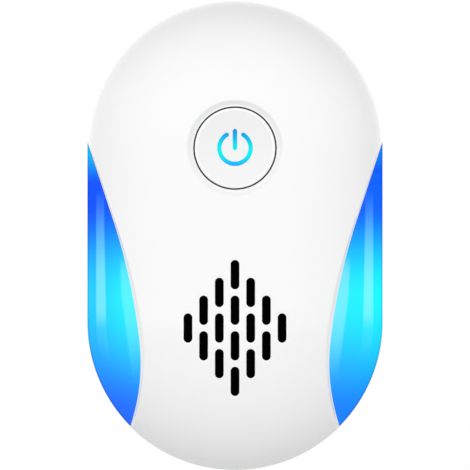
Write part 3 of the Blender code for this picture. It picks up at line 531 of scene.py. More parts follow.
def front_cover():
    left = window_line(EDGE_SPACING)
    mirror = np.array([-1.0, 1.0])
    loops = [(oval_ring(FRONT.rim, HALF_STRAIGHT, FILL), True), (left, False), (left * mirror, False)]
    extra = []
    for distance in LAND_RINGS:
        ring = side_step(left, -distance * MM)
        ring = ring[split_plan(ring, HALF_STRAIGHT)[2] < FRONT.rim - 0.3 * MM]
        extra += list(ring) + list(ring * mirror)
    for x, up in slot_centres():
        for number, grow in enumerate(sorted(round_edge_rings(SLOT_ROUND))):
            outline = obround((x, up), SLOT_WIDTH + 2 * grow, SLOT_LENGTH + 2 * grow)
            plan = unroll(FRONT, HALF_STRAIGHT, outline)
            if number:
                extra += list(plan)
            else:
                loops.append((plan, True))
    hole = (0.0, BUTTON_UP)
    loops.append((unroll(FRONT, HALF_STRAIGHT, circle(HOLE_RADIUS, 120, hole)), True))
    for radius in np.arange(HOLE_RADIUS + 0.06 * MM, DISH_WALL[1] + 0.4 * MM, 0.1 * MM):
        extra += list(unroll(FRONT, HALF_STRAIGHT, circle(radius, 120, hole)))
    for grow in round_edge_rings(EDGE_ROUND)[1:]:
        extra += oval_ring(FRONT.rim - grow, HALF_STRAIGHT, FILL)

    filler = []
    for run in np.arange(0.0, FRONT.rim - EDGE_ROUND - 0.2 * MM, FILL):
        filler += oval_ring(run, HALF_STRAIGHT, FILL)
    filler = np.array(filler)
    seen = roll(FRONT, HALF_STRAIGHT, filler)[:, :2]
    clear = slot_distance(seen) > SLOT_ROUND + 0.2 * MM
    clear &= np.hypot(seen[:, 0], seen[:, 1] - BUTTON_UP) > DISH_WALL[1] + 0.6 * MM
    for line in (left, left * mirror):
        clear &= line_distance(filler, line) > LAND_WIDTH + LAND_SLOPE_WIDTH + 0.5 * MM
    extra += list(filler[clear & ~in_window(filler, left)])

    def keep(plan, seen):
        run = split_plan(plan, HALF_STRAIGHT)[2]
        solid = (run < FRONT.rim) & (slot_distance(seen) > 0.0) & ~in_window(plan, left)
        return solid & (np.hypot(seen[:, 0], seen[:, 1] - BUTTON_UP) > HOLE_RADIUS - 0.01 * MM)

    def outer(plan, seen):
        run = split_plan(plan, HALF_STRAIGHT)[2]
        inset = round_edge(np.maximum(slot_distance(seen), 0.0), SLOT_ROUND)
        edge = np.minimum(line_distance(plan, left), line_distance(plan, left * mirror))
        inset += LAND_DEPTH * sink_share(plan) * ease(1.0 - (edge - LAND_WIDTH) / LAND_SLOPE_WIDTH)
        inset += round_edge(edge, SLOT_ROUND)
        inset = np.maximum(inset, round_edge(np.maximum(FRONT.rim - run, 0.0), EDGE_ROUND))
        away = np.hypot(seen[:, 0], seen[:, 1] - BUTTON_UP)
        inset += DISH_DEPTH * ease((DISH_WALL[1] - away) / (DISH_WALL[1] - DISH_WALL[0]))
        inset += round_edge(np.maximum(away - HOLE_RADIUS, 0.0), 0.06 * MM)
        return inset

    def inner(plan, seen):
        run = split_plan(plan, HALF_STRAIGHT)[2]
        depth = FRONT.at(run)[1]
        return np.where(depth < DOME_START + 0.01 * MM, SKIN, WALL)

    return shell("front_cover_shell", FRONT, HALF_STRAIGHT, loops, extra, keep, outer, inner)


# ---------------------------------------------------------------- light panels

def light_panel(side, name):
    """A gridded patch between the panel's inner edge and the rim, sunk below the cover."""
    step = 0.1 * MM
    edge = resample(side_step(window_line(EDGE_SPACING), PANEL_GAP), step)
    edge = edge[split_plan(edge, HALF_STRAIGHT)[2] < FRONT.rim - 1e-6]
    count = max(160, int(len(edge) * step / (0.35 * MM)))
    pick = np.linspace(0, len(edge) - 1, count)
    inner_edge = np.stack([np.interp(pick, np.arange(len(edge)), edge[:, k]) for k in (0, 1)], axis=1)
    middle, direction, _ = split_plan(edge[[0, -1]], HALF_STRAIGHT)
    start_turn = math.atan2(direction[0, 1], -direction[0, 0])
    end_turn = math.atan2(direction[1, 1], -direction[1, 0])
    first = middle[0] - HALF_STRAIGHT + max(start_turn, 0.0) * FRONT.rim
    last = middle[1] + HALF_STRAIGHT + min(end_turn, 0.0) * FRONT.rim
    rim = []
    for along in np.linspace(HALF_STRAIGHT + first, last - HALF_STRAIGHT, count):
        if along > HALF_STRAIGHT:
            turn = (along - HALF_STRAIGHT) / FRONT.rim
            rim.append((-FRONT.rim * math.cos(turn), HALF_STRAIGHT + FRONT.rim * math.sin(turn)))
        elif along < -HALF_STRAIGHT:
            turn = (along + HALF_STRAIGHT) / FRONT.rim
            rim.append((-FRONT.rim * math.cos(turn), -HALF_STRAIGHT + FRONT.rim * math.sin(turn)))
        else:
            rim.append((-FRONT.rim, along))
    rim = np.array(rim)
    rounding = np.array(round_edge_rings(EDGE_ROUND)) / PANEL_GRID_REACH
    shares = np.unique(np.concatenate([rounding, np.linspace(rounding[-1], 1.0, 44)]))
    plan = np.vstack([inner_edge + (rim - inner_edge) * share for share in shares])
    columns = len(shares)
    border = np.vstack([inner_edge, rim[::-1], inner_edge[:1]])
    distance = line_distance(plan, border)
    inset = PANEL_SINK * np.maximum(sink_share(plan), 0.1) + round_edge(distance, SLOT_ROUND)
    outer = roll(FRONT, HALF_STRAIGHT, plan, inset)
    depth = FRONT.at(split_plan(plan, HALF_STRAIGHT)[2])[1]
    thickness = np.where(depth < DOME_START + 0.01 * MM, SKIN, PANEL_THICKNESS)
    inner = roll(FRONT, HALF_STRAIGHT, plan, thickness)
    total = len(plan)
    faces = []
    for c in range(columns - 1):
        for r in range(count - 1):
            a = c * count + r
            faces.append((a, a + 1, a + 1 + count, a + count))
    faces += [tuple(k + total for k in reversed(face)) for face in faces]
    loop = list(range(count)) + [c * count + count - 1 for c in range(1, columns)]
    loop += [(columns - 1) * count + r for r in range(count - 2, -1, -1)]
    loop += [c * count for c in range(columns - 2, 0, -1)]
    faces += [(a, b, b + total, a + total) for a, b in zip(loop, loop[1:] + loop[:1])]
    points = world(np.vstack([outer, inner]))
    points[:, 0] *= -side
    panel = new_object(name, points, faces, 45.0)
    places = np.column_stack([-side * outer[:, 0], outer[:, 1]])
    store_edge_distance(panel, places, line_distance(plan, inner_edge))
    return panel


def store_edge_distance(panel, places, distance):
    """Keeps each point's distance from the panel's inner edge, in mm, for its material."""
    attribute = panel.data.attributes.new("edge_distance", "FLOAT", "POINT")
    where = {(round(x / MM, 3), round((up + MIDDLE_UP) / MM, 3)): value
             for (x, up), value in zip(places, distance)}
    values = [where.get((round(v.co.x / MM, 3), round(v.co.z / MM, 3)), 0.0) / MM
              for v in panel.data.vertices]
    attribute.data.foreach_set("value", values)


# ---------------------------------------------------------------- button

def symbol_outlines(grow=0.0):
    """The open ring and the bar of a power symbol, each moved outward by grow."""
    half = SYMBOL_STROKE / 2 + grow
    start = math.pi / 2 + SYMBOL_OPENING
    end = math.pi / 2 - SYMBOL_OPENING + 2 * math.pi
    outer = arc((0.0, 0.0), SYMBOL_RADIUS + half, start, end, 72)
    inner = arc((0.0, 0.0), SYMBOL_RADIUS - half, end, start, 72)
    last = arc(on_circle(SYMBOL_RADIUS, end), half, end, end + math.pi, 10)
    first = arc(on_circle(SYMBOL_RADIUS, start), half, start - math.pi, start, 10)
    low, high = SYMBOL_BAR
    bar = obround((0.0, (low + high) / 2), 2 * half, high - low + 2 * grow, 10, 8)
    return [outer + last[1:-1] + inner + first[1:-1], bar]


def symbol_distance(points):
    """Distance outside the symbol's strokes; negative inside them."""
    low, high = SYMBOL_BAR
    half = SYMBOL_STROKE / 2
    rise = points[:, 1] - np.clip(points[:, 1], low + half, high - half)
    bar = np.hypot(points[:, 0], rise) - half
    turn = np.arctan2(points[:, 0], points[:, 1])
    limited = np.where(np.abs(turn) < SYMBOL_OPENING, np.where(turn < 0, -1, 1) * SYMBOL_OPENING, turn)
    near = SYMBOL_RADIUS * np.stack([np.sin(limited), np.cos(limited)], axis=1)
    ring = np.hypot(*(points - near).T) - half
    return np.minimum(bar, ring)


def button_cap():
    section = cap_section()
    edge_round = 0.06 * MM
    spacing = 0.45 * MM
    loops = [(oval_ring(section.rim, 0.0, spacing), True)]
    loops += [(outline, True) for outline in symbol_outlines()]
    extra = []
    for grow in round_edge_rings(edge_round, 2)[1:] + [0.2 * MM]:
        for outline in symbol_outlines(grow):
            extra += outline
    flat = np.interp(CAP_RADIUS - 0.45 * MM, section.radius, section.run)
    runs = list(np.arange(0.0, flat, spacing)) + list(np.linspace(flat, flat + 0.71 * MM, 10))
    runs += list(np.linspace(flat + 0.71 * MM, section.rim, 6)[1:-1])
    filler = np.array(sum([oval_ring(run, 0.0, spacing) if run else [(0.0, 0.0)] for run in runs], []))
    extra += list(filler[symbol_distance(filler) > 0.35 * MM])

    def keep(plan, seen):
        run = np.hypot(*plan.T)
        return (run < section.rim) & (symbol_distance(plan) > 0.0)

    def outer(plan, seen):
        return round_edge(np.maximum(symbol_distance(plan), 0.0), edge_round)

    def inner(plan, seen):
        return np.full(len(plan), SKIN)

    cap = shell("button_cap_shell", section, 0.0, loops, extra, keep, outer, inner, BUTTON_UP)
    flange = [(CAP_RADIUS - 0.5 * MM, CAP_BACK + SKIN), (9.3 * MM, CAP_BACK + SKIN), (9.3 * MM, CAP_BACK),
              (CAP_RADIUS - 0.5 * MM, CAP_BACK)]
    ring = turned("cap_flange", flange, (0.0, BUTTON_UP), 96, closed=True)
    join(cap, [ring])
    return cap


def symbol_lens():
    """The light guide's strokes fill the cap's openings; its disc and stem are behind them."""
    gap = 0.03 * MM
    face = BUTTON_FACE - CAP_HOLLOW * 0.86
    low = BUTTON_FACE - 1.8 * MM
    pieces = []
    for number in range(2):
        levels = [(symbol_outlines(-gap)[number], low), (symbol_outlines(-gap)[number], face - 0.08 * MM),
                  (symbol_outlines(-gap - 0.03 * MM)[number], face - 0.02 * MM),
                  (symbol_outlines(-gap - 0.1 * MM)[number], face)]
        shifted = [([(x, up + BUTTON_UP) for x, up in outline], depth) for outline, depth in levels]
        pieces.append(loft(f"stroke_{number}", shifted))
    stem_end = -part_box("button_symbol_lens")[1].y
    disc = BUTTON_FACE - 1.7 * MM
    profile = [(0.0, disc), (6.7 * MM, disc), (6.8 * MM, disc - 0.1 * MM), (6.8 * MM, disc - 0.7 * MM),
               (6.7 * MM, disc - 0.8 * MM), (1.6 * MM, disc - 0.8 * MM), (1.6 * MM, stem_end + 0.15 * MM),
               (1.45 * MM, stem_end), (0.0, stem_end)]
    lens = turned("symbol_light_guide", profile, (0.0, BUTTON_UP), 64)
    join(lens, pieces)
    return lens


def join(target, others):
    """Merges other objects' meshes into the target's."""
    shape = bmesh.new()
    shape.from_mesh(target.data)
    for other in others:
        shape.from_mesh(other.data)
        bpy.data.objects.remove(other, do_unlink=True)
    shape.to_mesh(target.data)
    shape.free()


# ---------------------------------------------------------------- rear cover and fasteners

def oval_solid(name, profile, steps=64):
    """A closed solid: a profile from axis to axis, swept round the oval."""
    verts = []
    faces = []
    ring = []
    for end, start in ((1, 0.0), (-1, math.pi)):
        ring += [(math.cos(start + math.pi * k / steps), math.sin(start + math.pi * k / steps), end)
                 for k in range(steps + 1)]
    count = len(profile)
    for cos, sin, end in ring:
        verts += [(radius * cos, radius * sin + end * HALF_STRAIGHT, depth) for radius, depth in profile]
    for k in range(len(ring)):
        here, there = k * count, (k + 1) % len(ring) * count
        for j in range(count - 1):
            faces.append((here + j, here + j + 1, there + j + 1, there + j))
    return new_object(name, world(verts), faces)


def screw_places():
    places = []
    for number in range(1, 5):
        low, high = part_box(f"cover_screw_{number}")
        places.append(((low.x + high.x) / 2, (low.z + high.z) / 2 - MIDDLE_UP))
    return places


def rear_cover():
    corner = END_RADIUS - BACK_DRAFT - BACK_EDGE_RADIUS
    edge = arc((corner, BACK_EDGE_RADIUS), BACK_EDGE_RADIUS, -math.pi / 2, 0.0, 14)
    inner = arc((corner, BACK_EDGE_RADIUS), BACK_EDGE_RADIUS - FLOOR, 0.0, -math.pi / 2, 6)
    tongue_out = END_RADIUS - SKIN - GAP
    tongue_in = tongue_out - TONGUE_THICKNESS
    tongue_front = DOME_START - GAP
    lip = arc((END_RADIUS - EDGE_ROUND, REAR_RIM - EDGE_ROUND), EDGE_ROUND, 0.0, math.pi / 2, 4)
    tongue = [(tongue_out, REAR_RIM), (tongue_out, tongue_front),
              (tongue_in, tongue_front), (tongue_in, REAR_RIM)]
    profile = [(0.0, 0.0)] + edge + lip + tongue
    cover = oval_solid("rear_cover_shell", profile + inner + [(0.0, FLOOR)])

    # Each opening flares at the back face: (depth, how much wider).
    flare = [(-1.0 * MM, 0.3 * MM), (0.0, 0.3 * MM), (0.06 * MM, 0.17 * MM),
             (0.15 * MM, 0.08 * MM), (0.3 * MM, 0.0)]
    for place in screw_places():
        boss = circle(SCREW_BOSS_RADIUS, 48, place)
        boolean(cover, loft("boss", [(boss, FLOOR / 2), (boss, SCREW_BOSS_FRONT)]), "UNION")
        levels = [(circle(HEAD_RECESS_RADIUS + grow, 48, place), depth) for depth, grow in flare]
        levels.append((circle(HEAD_RECESS_RADIUS, 48, place), RECESS_FRONT))
        boolean(cover, loft("recess", levels), "DIFFERENCE")
        shaft = [(circle(SCREW_SHAFT_RADIUS, 32, place), depth) for depth in SCREW_SHAFT]
        boolean(cover, loft("shaft_hole", shaft), "DIFFERENCE")
    for name in ("left_blade", "right_blade"):
        low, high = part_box(name)
        centre = ((low.x + high.x) / 2, (low.z + high.z) / 2 - MIDDLE_UP)
        width = high.x - low.x + 2 * GAP
        height = high.z - low.z + 2 * GAP
        levels = [(rounded_box_outline(centre, width + 2 * grow, height + 2 * grow,
                                       BLADE_SLOT_CORNER + grow), depth)
                  for depth, grow in flare + [(RECESS_FRONT, 0.0)]]
        boolean(cover, loft("blade_slot", levels), "DIFFERENCE")
    smooth_by_angle(cover, 32.0)
    return cover


def cover_screw(number, place):
    head = 2.6 * MM
    profile = [(0.0, 1.8 * MM), (1.2 * MM, 1.84 * MM), (2.0 * MM, 2.02 * MM), (2.4 * MM, 2.3 * MM),
               (head, 2.7 * MM), (head, 3.6 * MM), (2.5 * MM, 3.7 * MM), (1.3 * MM, 3.7 * MM)]
    pitch = 1.0 * MM
    depth = 4.6 * MM
    while depth < 15.5 * MM:
        profile += [(1.05 * MM, depth), (1.3 * MM, depth + 0.3 * MM), (1.3 * MM, depth + 0.38 * MM),
                    (1.05 * MM, depth + 0.7 * MM)]
        depth += pitch
    profile += [(1.0 * MM, 16.6 * MM), (0.0, 18.0 * MM)]
    screw = turned(f"cover_screw_piece_{number}", profile, place, 48)
    reach, root, tip = 1.35 * MM, 0.36 * MM, 0.27 * MM
    quarter = [(reach, -tip), (reach, tip), (root, root)]
    outline = []
    for _ in range(4):
        outline += quarter
        quarter = [(-up, x) for x, up in quarter]
    outline = [(x + place[0], up + place[1]) for x, up in outline]
    narrow = 0.6
    deep = [(place[0] + (x - place[0]) * narrow, place[1] + (up - place[1]) * narrow) for x, up in outline]
    recess = loft("cross_recess", [(outline, 1.0 * MM), (outline, 1.9 * MM), (deep, 3.1 * MM)])
    boolean(screw, recess, "DIFFERENCE")
    smooth_by_angle(screw, 35.0)
    return screw


# ---------------------------------------------------------------- materials

class Material:
    """A Principled material with short helpers for its node tree."""

    def __init__(self, name, colour, roughness, metallic=0.0):
        self.data = bpy.data.materials.new(name)
        self.data.use_nodes = True
        self.tree = self.data.node_tree
        self.shader = self.tree.nodes["Principled BSDF"]
        self.set("Base Color", (*colour, 1.0))
        self.set("Roughness", roughness)
        self.set("Metallic", metallic)
        self.place = self.node("ShaderNodeTexCoord").outputs["Object"]

    def node(self, kind, **values):
        made = self.tree.nodes.new(kind)
        for key, value in values.items():
            setattr(made, key, value)
        return made

    def link(self, source, target):
        self.tree.links.new(source, target)

    def position(self):
        """The X, Y and Z of the shaded point in the world."""
        split = self.node("ShaderNodeSeparateXYZ")
        self.link(self.place, split.inputs["Vector"])
        return split.outputs["X"], split.outputs["Y"], split.outputs["Z"]

    def product(self, first, *others):
        for other in others:
            first = self.math("MULTIPLY", first, other)
        return first

    def set(self, socket, value):
        self.shader.inputs[socket].default_value = value

    def noise(self, scale, detail=3.0, stretch=(1.0, 1.0, 1.0)):
        mapping = self.node("ShaderNodeMapping")
        mapping.inputs["Scale"].default_value = stretch
        self.link(self.place, mapping.inputs["Vector"])
        noise = self.node("ShaderNodeTexNoise")
        noise.inputs["Scale"].default_value = scale
        noise.inputs["Detail"].default_value = detail
        self.link(mapping.outputs["Vector"], noise.inputs["Vector"])
        return noise.outputs["Fac"]

    def smooth(self, value, start, end):
        """A share that eases from 0 at start to 1 at end."""
        node = self.node("ShaderNodeMapRange")
        node.interpolation_type = "SMOOTHSTEP"
        node.inputs["From Min"].default_value = start
        node.inputs["From Max"].default_value = end
        self.link(value, node.inputs["Value"])
        return node.outputs["Result"]

    def span(self, value, low, high, start=0.0, end=1.0):
        """Maps a value from start..end to low..high."""
        node = self.node("ShaderNodeMapRange")
        for socket, number in (("From Min", start), ("From Max", end), ("To Min", low), ("To Max", high)):
            node.inputs[socket].default_value = number
        self.link(value, node.inputs["Value"])
        return node.outputs["Result"]

    def math(self, operation, first, second=None, third=None):
        node = self.node("ShaderNodeMath", operation=operation)
        for socket, value in zip(node.inputs, (first, second, third)):
            if value is None:
                continue
            if isinstance(value, (int, float)):
                socket.default_value = value
            else:
                self.link(value, socket)
        return node.outputs["Value"]

    def mix(self, share, first, second, blend="MIX"):
        node = self.node("ShaderNodeMix", data_type="RGBA", blend_type=blend)
        for socket, value in ((node.inputs[0], share), (node.inputs[6], first), (node.inputs[7], second)):
            if isinstance(value, tuple):
                socket.default_value = (*value, 1.0)
            elif isinstance(value, (int, float)):
                socket.default_value = value
            else:
                self.link(value, socket)
        return node.outputs[2]

    def bump(self, height, strength, distance):
        node = self.node("ShaderNodeBump")
        node.inputs["Strength"].default_value = strength
        node.inputs["Distance"].default_value = distance
        self.link(height, node.inputs["Height"])
        self.link(node.outputs["Normal"], self.shader.inputs["Normal"])

    def drive(self, socket, value):
        self.link(value, self.shader.inputs[socket])

    def glow(self, colour):
        self.drive("Emission Color", colour)
        self.set("Emission Strength", 1.0)


def linear(red, green, blue):
    """An 8-bit display colour as linear light."""
    return tuple(c / 12.92 if c <= 0.04045 else ((c + 0.055) / 1.055) ** 2.4
                 for c in (red / 255, green / 255, blue / 255))


def moulded(name, colour, roughness, grain=900.0, depth=0.02 * MM, shade=0.03, uneven=0.2):
    """Moulded plastic: faint mottling, uneven gloss and a fine texture."""
    material = Material(name, colour, roughness)
    soft = material.noise(60.0, 2.0)
    light = tuple(min(1.0, c * (1 + shade)) for c in colour)
    dark = tuple(c * (1 - shade) for c in colour)
    material.drive("Base Color", material.mix(soft, dark, light))
    material.drive("Roughness", material.span(material.noise(240.0), roughness * (1 - uneven),
                                              roughness * (1 + uneven), 0.3, 0.7))
    material.bump(material.noise(grain, 4.0), 0.12, depth)
    return material


def metal(name, colour, roughness, stretch=(1.0, 1.0, 1.0), scale=400.0):
    """Drawn or plated metal with fine marks along one direction."""
    material = Material(name, colour, roughness, 1.0)
    marks = material.noise(scale, 5.0, stretch)
    material.drive("Base Color", material.mix(marks, tuple(c * 0.82 for c in colour), colour))
    material.drive("Roughness", material.span(marks, roughness * 0.6, roughness * 1.6, 0.3, 0.7))
    material.bump(marks, 0.15, 0.02 * MM)
    return material


def white_plastic():
    material = moulded("glossy_white_plastic", (0.90, 0.90, 0.905), 0.2, 1400.0, 0.01 * MM, 0.004)
    material.set("Coat Weight", 0.35)
    material.set("Coat Roughness", 0.08)
    return material


def cap_plastic():
    """Satin white with a painted highlight just inside its edge, and its skirt painted near black as painted
    shade in the gap round it.
    """
    material = moulded("satin_white_plastic", (0.86, 0.86, 0.862), 0.34, 1800.0, 0.015 * MM, 0.006, 0.04)
    x, y, z = material.position()
    rise = material.math("SUBTRACT", z, MIDDLE_UP + BUTTON_UP)
    square = material.math("ADD", material.math("POWER", x, 2.0), material.math("POWER", rise, 2.0))
    radius = material.math("SQRT", square)
    # Painted highlight: the colour turns paler white from just inside the cap's edge outward, over its
    # rounded corner.
    painted_edge_highlight = material.span(radius, 0.0, 1.0, CAP_RADIUS - 0.55 * MM, CAP_RADIUS - 0.35 * MM)
    mottled = material.shader.inputs["Base Color"].links[0].from_socket
    colour = material.mix(painted_edge_highlight, mottled, (0.97, 0.97, 0.97))
    # Painted shade: from just behind its face the cap is coloured near black, so that the gap round it reads
    # dark.
    skirt = material.span(y, 0.0, 1.0, -BUTTON_FACE + 0.5 * MM, -BUTTON_FACE + 0.7 * MM)
    material.drive("Base Color", material.mix(skirt, colour, (0.02, 0.02, 0.022)))
    return material


PANEL_CYAN = (43, 241, 255)            # at the lamps' height
PANEL_FOOT_BLUE = (42, 125, 251)
PANEL_DEEP_BLUE = (25, 96, 253)        # above the lamps
# Painted highlight: the cyan of a glint at the panel's top tip.
PANEL_TIP_GLINT = (20, 230, 250)
# Painted reflections: the pale colour of strip lights' bands across the panels.
REFLECTION_PALE = (150, 248, 255)
REFLECTION_BAND_EDGES = (26.4 * MM, 28.0 * MM)    # of the outer painted reflection band, from the middle line
REFLECTION_BAND_SOFTNESS = 0.15 * MM
INNER_REFLECTION_EDGE = 22.9 * MM            # of the inner painted reflection band, from the middle of the body


def lit_panel():
    """Clear plastic lit from inside: blue at its ends, cyan by the lamps, with two pale painted reflections.

    The two pale bands are painted reflections of strip lights; the outer one follows the outline of the
    body, and the inner one's edge leans inward towards the foot of the panel.
    """
    material = Material("lit_blue_panel", (0.002, 0.012, 0.05), 0.35)
    material.set("Specular IOR Level", 0.0)
    x, _, z = material.position()
    up = material.math("SUBTRACT", z, MIDDLE_UP)
    past_straight = material.math("SUBTRACT", material.math("ABSOLUTE", up), HALF_STRAIGHT)
    over = material.math("MAXIMUM", past_straight, 0.0)
    square = material.math("MULTIPLY_ADD", over, over, material.math("POWER", x, 2.0))
    radius = material.math("SQRT", square)
    right = material.span(x, 0.0, 1.0, -1.0 * MM, 1.0 * MM)

    foot = material.smooth(up, -12.0 * MM, -37.0 * MM)
    colour = material.mix(foot, linear(*PANEL_CYAN), linear(*PANEL_FOOT_BLUE))
    colour = material.mix(material.smooth(up, -13.0 * MM, 6.5 * MM), colour, linear(*PANEL_DEEP_BLUE))
    # Painted highlight: a cyan glint towards the top tip of the panel.
    colour = material.mix(material.smooth(up, 10.0 * MM, 18.5 * MM), colour, linear(*PANEL_TIP_GLINT))
    # Painted light and shade: towards the outline the left panel loses green and turns darker, while the
    # right one turns brighter and more cyan.
    outward = material.span(radius, 0.0, 1.0, 22.5 * MM, 28.2 * MM)
    side_light_tint = material.mix(right, (1.0, 0.72, 1.0), (0.6, 1.07, 1.0))
    colour = material.mix(outward, colour, side_light_tint, "MULTIPLY")
    # The right panel's top tip has its green cut, so that it stays deep blue without the painted glint.
    right_tip_unglinted = material.product(right, material.span(up, 0.0, 1.0, 10.0 * MM, 13.0 * MM))
    colour = material.mix(right_tip_unglinted, colour, (1.0, 0.3, 1.0), "MULTIPLY")

    # Painted reflection: the outer pale band along the body's outline, fading out towards the top.
    reflection_band_radius = material.math("MULTIPLY_ADD", x, 0.0025, radius)
    widening = material.span(up, -0.45 * MM, 0.0, -20.0 * MM, 4.0 * MM)
    widened = material.math("SUBTRACT", reflection_band_radius, widening)
    inner, outer = REFLECTION_BAND_EDGES
    reflection_band = material.product(
        material.span(widened, 0.0, 1.0, inner - REFLECTION_BAND_SOFTNESS, inner + REFLECTION_BAND_SOFTNESS),
        material.span(reflection_band_radius, 1.0, 0.0, outer - 0.12 * MM, outer + 0.13 * MM))
    bright = material.product(material.smooth(up, -19.5 * MM, -15.0 * MM), 0.45)
    faint = material.product(material.smooth(up, -27.0 * MM, -19.0 * MM), 0.08)
    fading = material.span(up, 1.0, 0.0, -8.0 * MM, 9.0 * MM)
    strength = material.product(material.math("ADD", bright, faint), fading)
    colour = material.mix(material.product(reflection_band, strength), colour, linear(*REFLECTION_PALE))

    # Painted reflection: the inner pale band, whose edge leans inward towards the panel's foot.
    lower_lean = material.span(up, 2.05 * MM, 0.0, -27.5 * MM, -12.0 * MM)
    upper_lean = material.span(up, 0.0, -0.35 * MM, -12.0 * MM, -4.0 * MM)
    lean = material.math("ADD", lower_lean, upper_lean)
    sideways = material.math("ADD", material.math("ABSOLUTE", x), lean)
    inner_reflection_band = material.span(sideways, 1.0, 0.0, INNER_REFLECTION_EDGE - 0.25 * MM, INNER_REFLECTION_EDGE + 0.25 * MM)
    strength = material.product(material.smooth(up, -3.5 * MM, -8.0 * MM),
                                material.smooth(up, -31.0 * MM, -15.0 * MM), 0.43)
    pale = material.mix(right, linear(125, 252, 255), linear(162, 238, 255))
    colour = material.mix(material.product(inner_reflection_band, strength), colour, pale)

    # Painted shade: a darker line along the panel's inner edge, on its upper part only.
    distance = material.node("ShaderNodeAttribute", attribute_name="edge_distance").outputs["Fac"]
    painted_edge_shade = material.product(material.span(distance, 1.0, 0.0, 0.1, 0.4),
                                 material.span(up, 0.0, 1.0, -6.0 * MM, 3.0 * MM))
    colour = material.mix(painted_edge_shade, colour, (0.5, 0.45, 0.5), "MULTIPLY")
    # Painted shade: the panel darker in its outermost half millimetre and on its sides, where it turns away
    # at the outline.
    rim = material.span(radius, 0.0, 1.0, 29.4 * MM, 29.8 * MM)
    colour = material.mix(rim, colour, (0.8, 0.74, 0.76), "MULTIPLY")
    material.glow(colour)
    material.bump(material.noise(500.0), 0.05, 0.01 * MM)
    return material


SYMBOL_CYAN = (8, 235, 236)
SYMBOL_FOOT_BLUE = (20, 165, 248)
SYMBOL_TOP_BLUE = (8, 150, 232)


def lit_symbol():
    """The symbol glows blue at its top and foot and cyan between them."""
    material = Material("lit_symbol", (0.002, 0.02, 0.04), 0.25)
    material.set("Specular IOR Level", 0.04)
    up = material.math("SUBTRACT", material.position()[2], MIDDLE_UP + BUTTON_UP)
    foot = material.smooth(up, -1.2 * MM, -3.9 * MM)
    colour = material.mix(foot, linear(*SYMBOL_CYAN), linear(*SYMBOL_FOOT_BLUE))
    colour = material.mix(material.smooth(up, -0.6 * MM, 3.8 * MM), colour, linear(*SYMBOL_TOP_BLUE))
    material.glow(colour)
    material.bump(material.noise(1500.0), 0.05, 0.01 * MM)
    return material


WAVE_SCALE = 0.314                     # a wave texture's scale for stripes one metre apart


def woven(name, colour, pitch):
    """Fine cloth: crossed threads in the colour and the surface."""
    material = Material(name, colour, 0.95)
    material.set("Specular IOR Level", 0.05)
    waves = []
    for direction in ("X", "Z"):
        wave = material.node("ShaderNodeTexWave", bands_direction=direction)
        wave.inputs["Scale"].default_value = WAVE_SCALE / pitch
        material.link(material.place, wave.inputs["Vector"])
        waves.append(wave.outputs["Fac"])
    threads = material.math("MULTIPLY", waves[0], waves[1])
    material.drive("Base Color", material.mix(threads, tuple(c * 0.4 for c in colour), colour))
    material.bump(threads, 0.4, 0.05 * MM)
    return material


def board_laminate():
    """Green solder mask over faint copper tracks."""
    material = Material("green_board", (0.01, 0.16, 0.06), 0.35)
    cells = material.node("ShaderNodeTexVoronoi", feature="DISTANCE_TO_EDGE")
    cells.inputs["Scale"].default_value = 260.0
    material.link(material.place, cells.inputs["Vector"])
    tracks = material.span(cells.outputs["Distance"], 1.0, 0.0, 0.02, 0.05)
    colour = material.mix(tracks, (0.012, 0.15, 0.06), (0.02, 0.24, 0.09))
    material.drive("Base Color", colour)
    material.bump(tracks, 0.2, 0.03 * MM)
    return material


def wound_copper():
    """Turns of enamelled wire, stacked along the depth axis."""
    material = Material("copper_winding", (0.62, 0.25, 0.1), 0.32, 1.0)
    wave = material.node("ShaderNodeTexWave", bands_direction="Y")
    wave.inputs["Scale"].default_value = WAVE_SCALE / (0.35 * MM)
    material.link(material.place, wave.inputs["Vector"])
    material.drive("Base Color", material.mix(wave.outputs["Fac"], (0.3, 0.1, 0.04), (0.7, 0.3, 0.12)))
    material.bump(wave.outputs["Fac"], 0.6, 0.1 * MM)
    return material


def lamp_epoxy():
    material = moulded("blue_lamp_epoxy", (0.05, 0.2, 0.9), 0.1)
    material.set("Emission Color", (0.1, 0.35, 1.0, 1.0))
    material.set("Emission Strength", 0.6)
    material.set("Coat Weight", 0.5)
    return material


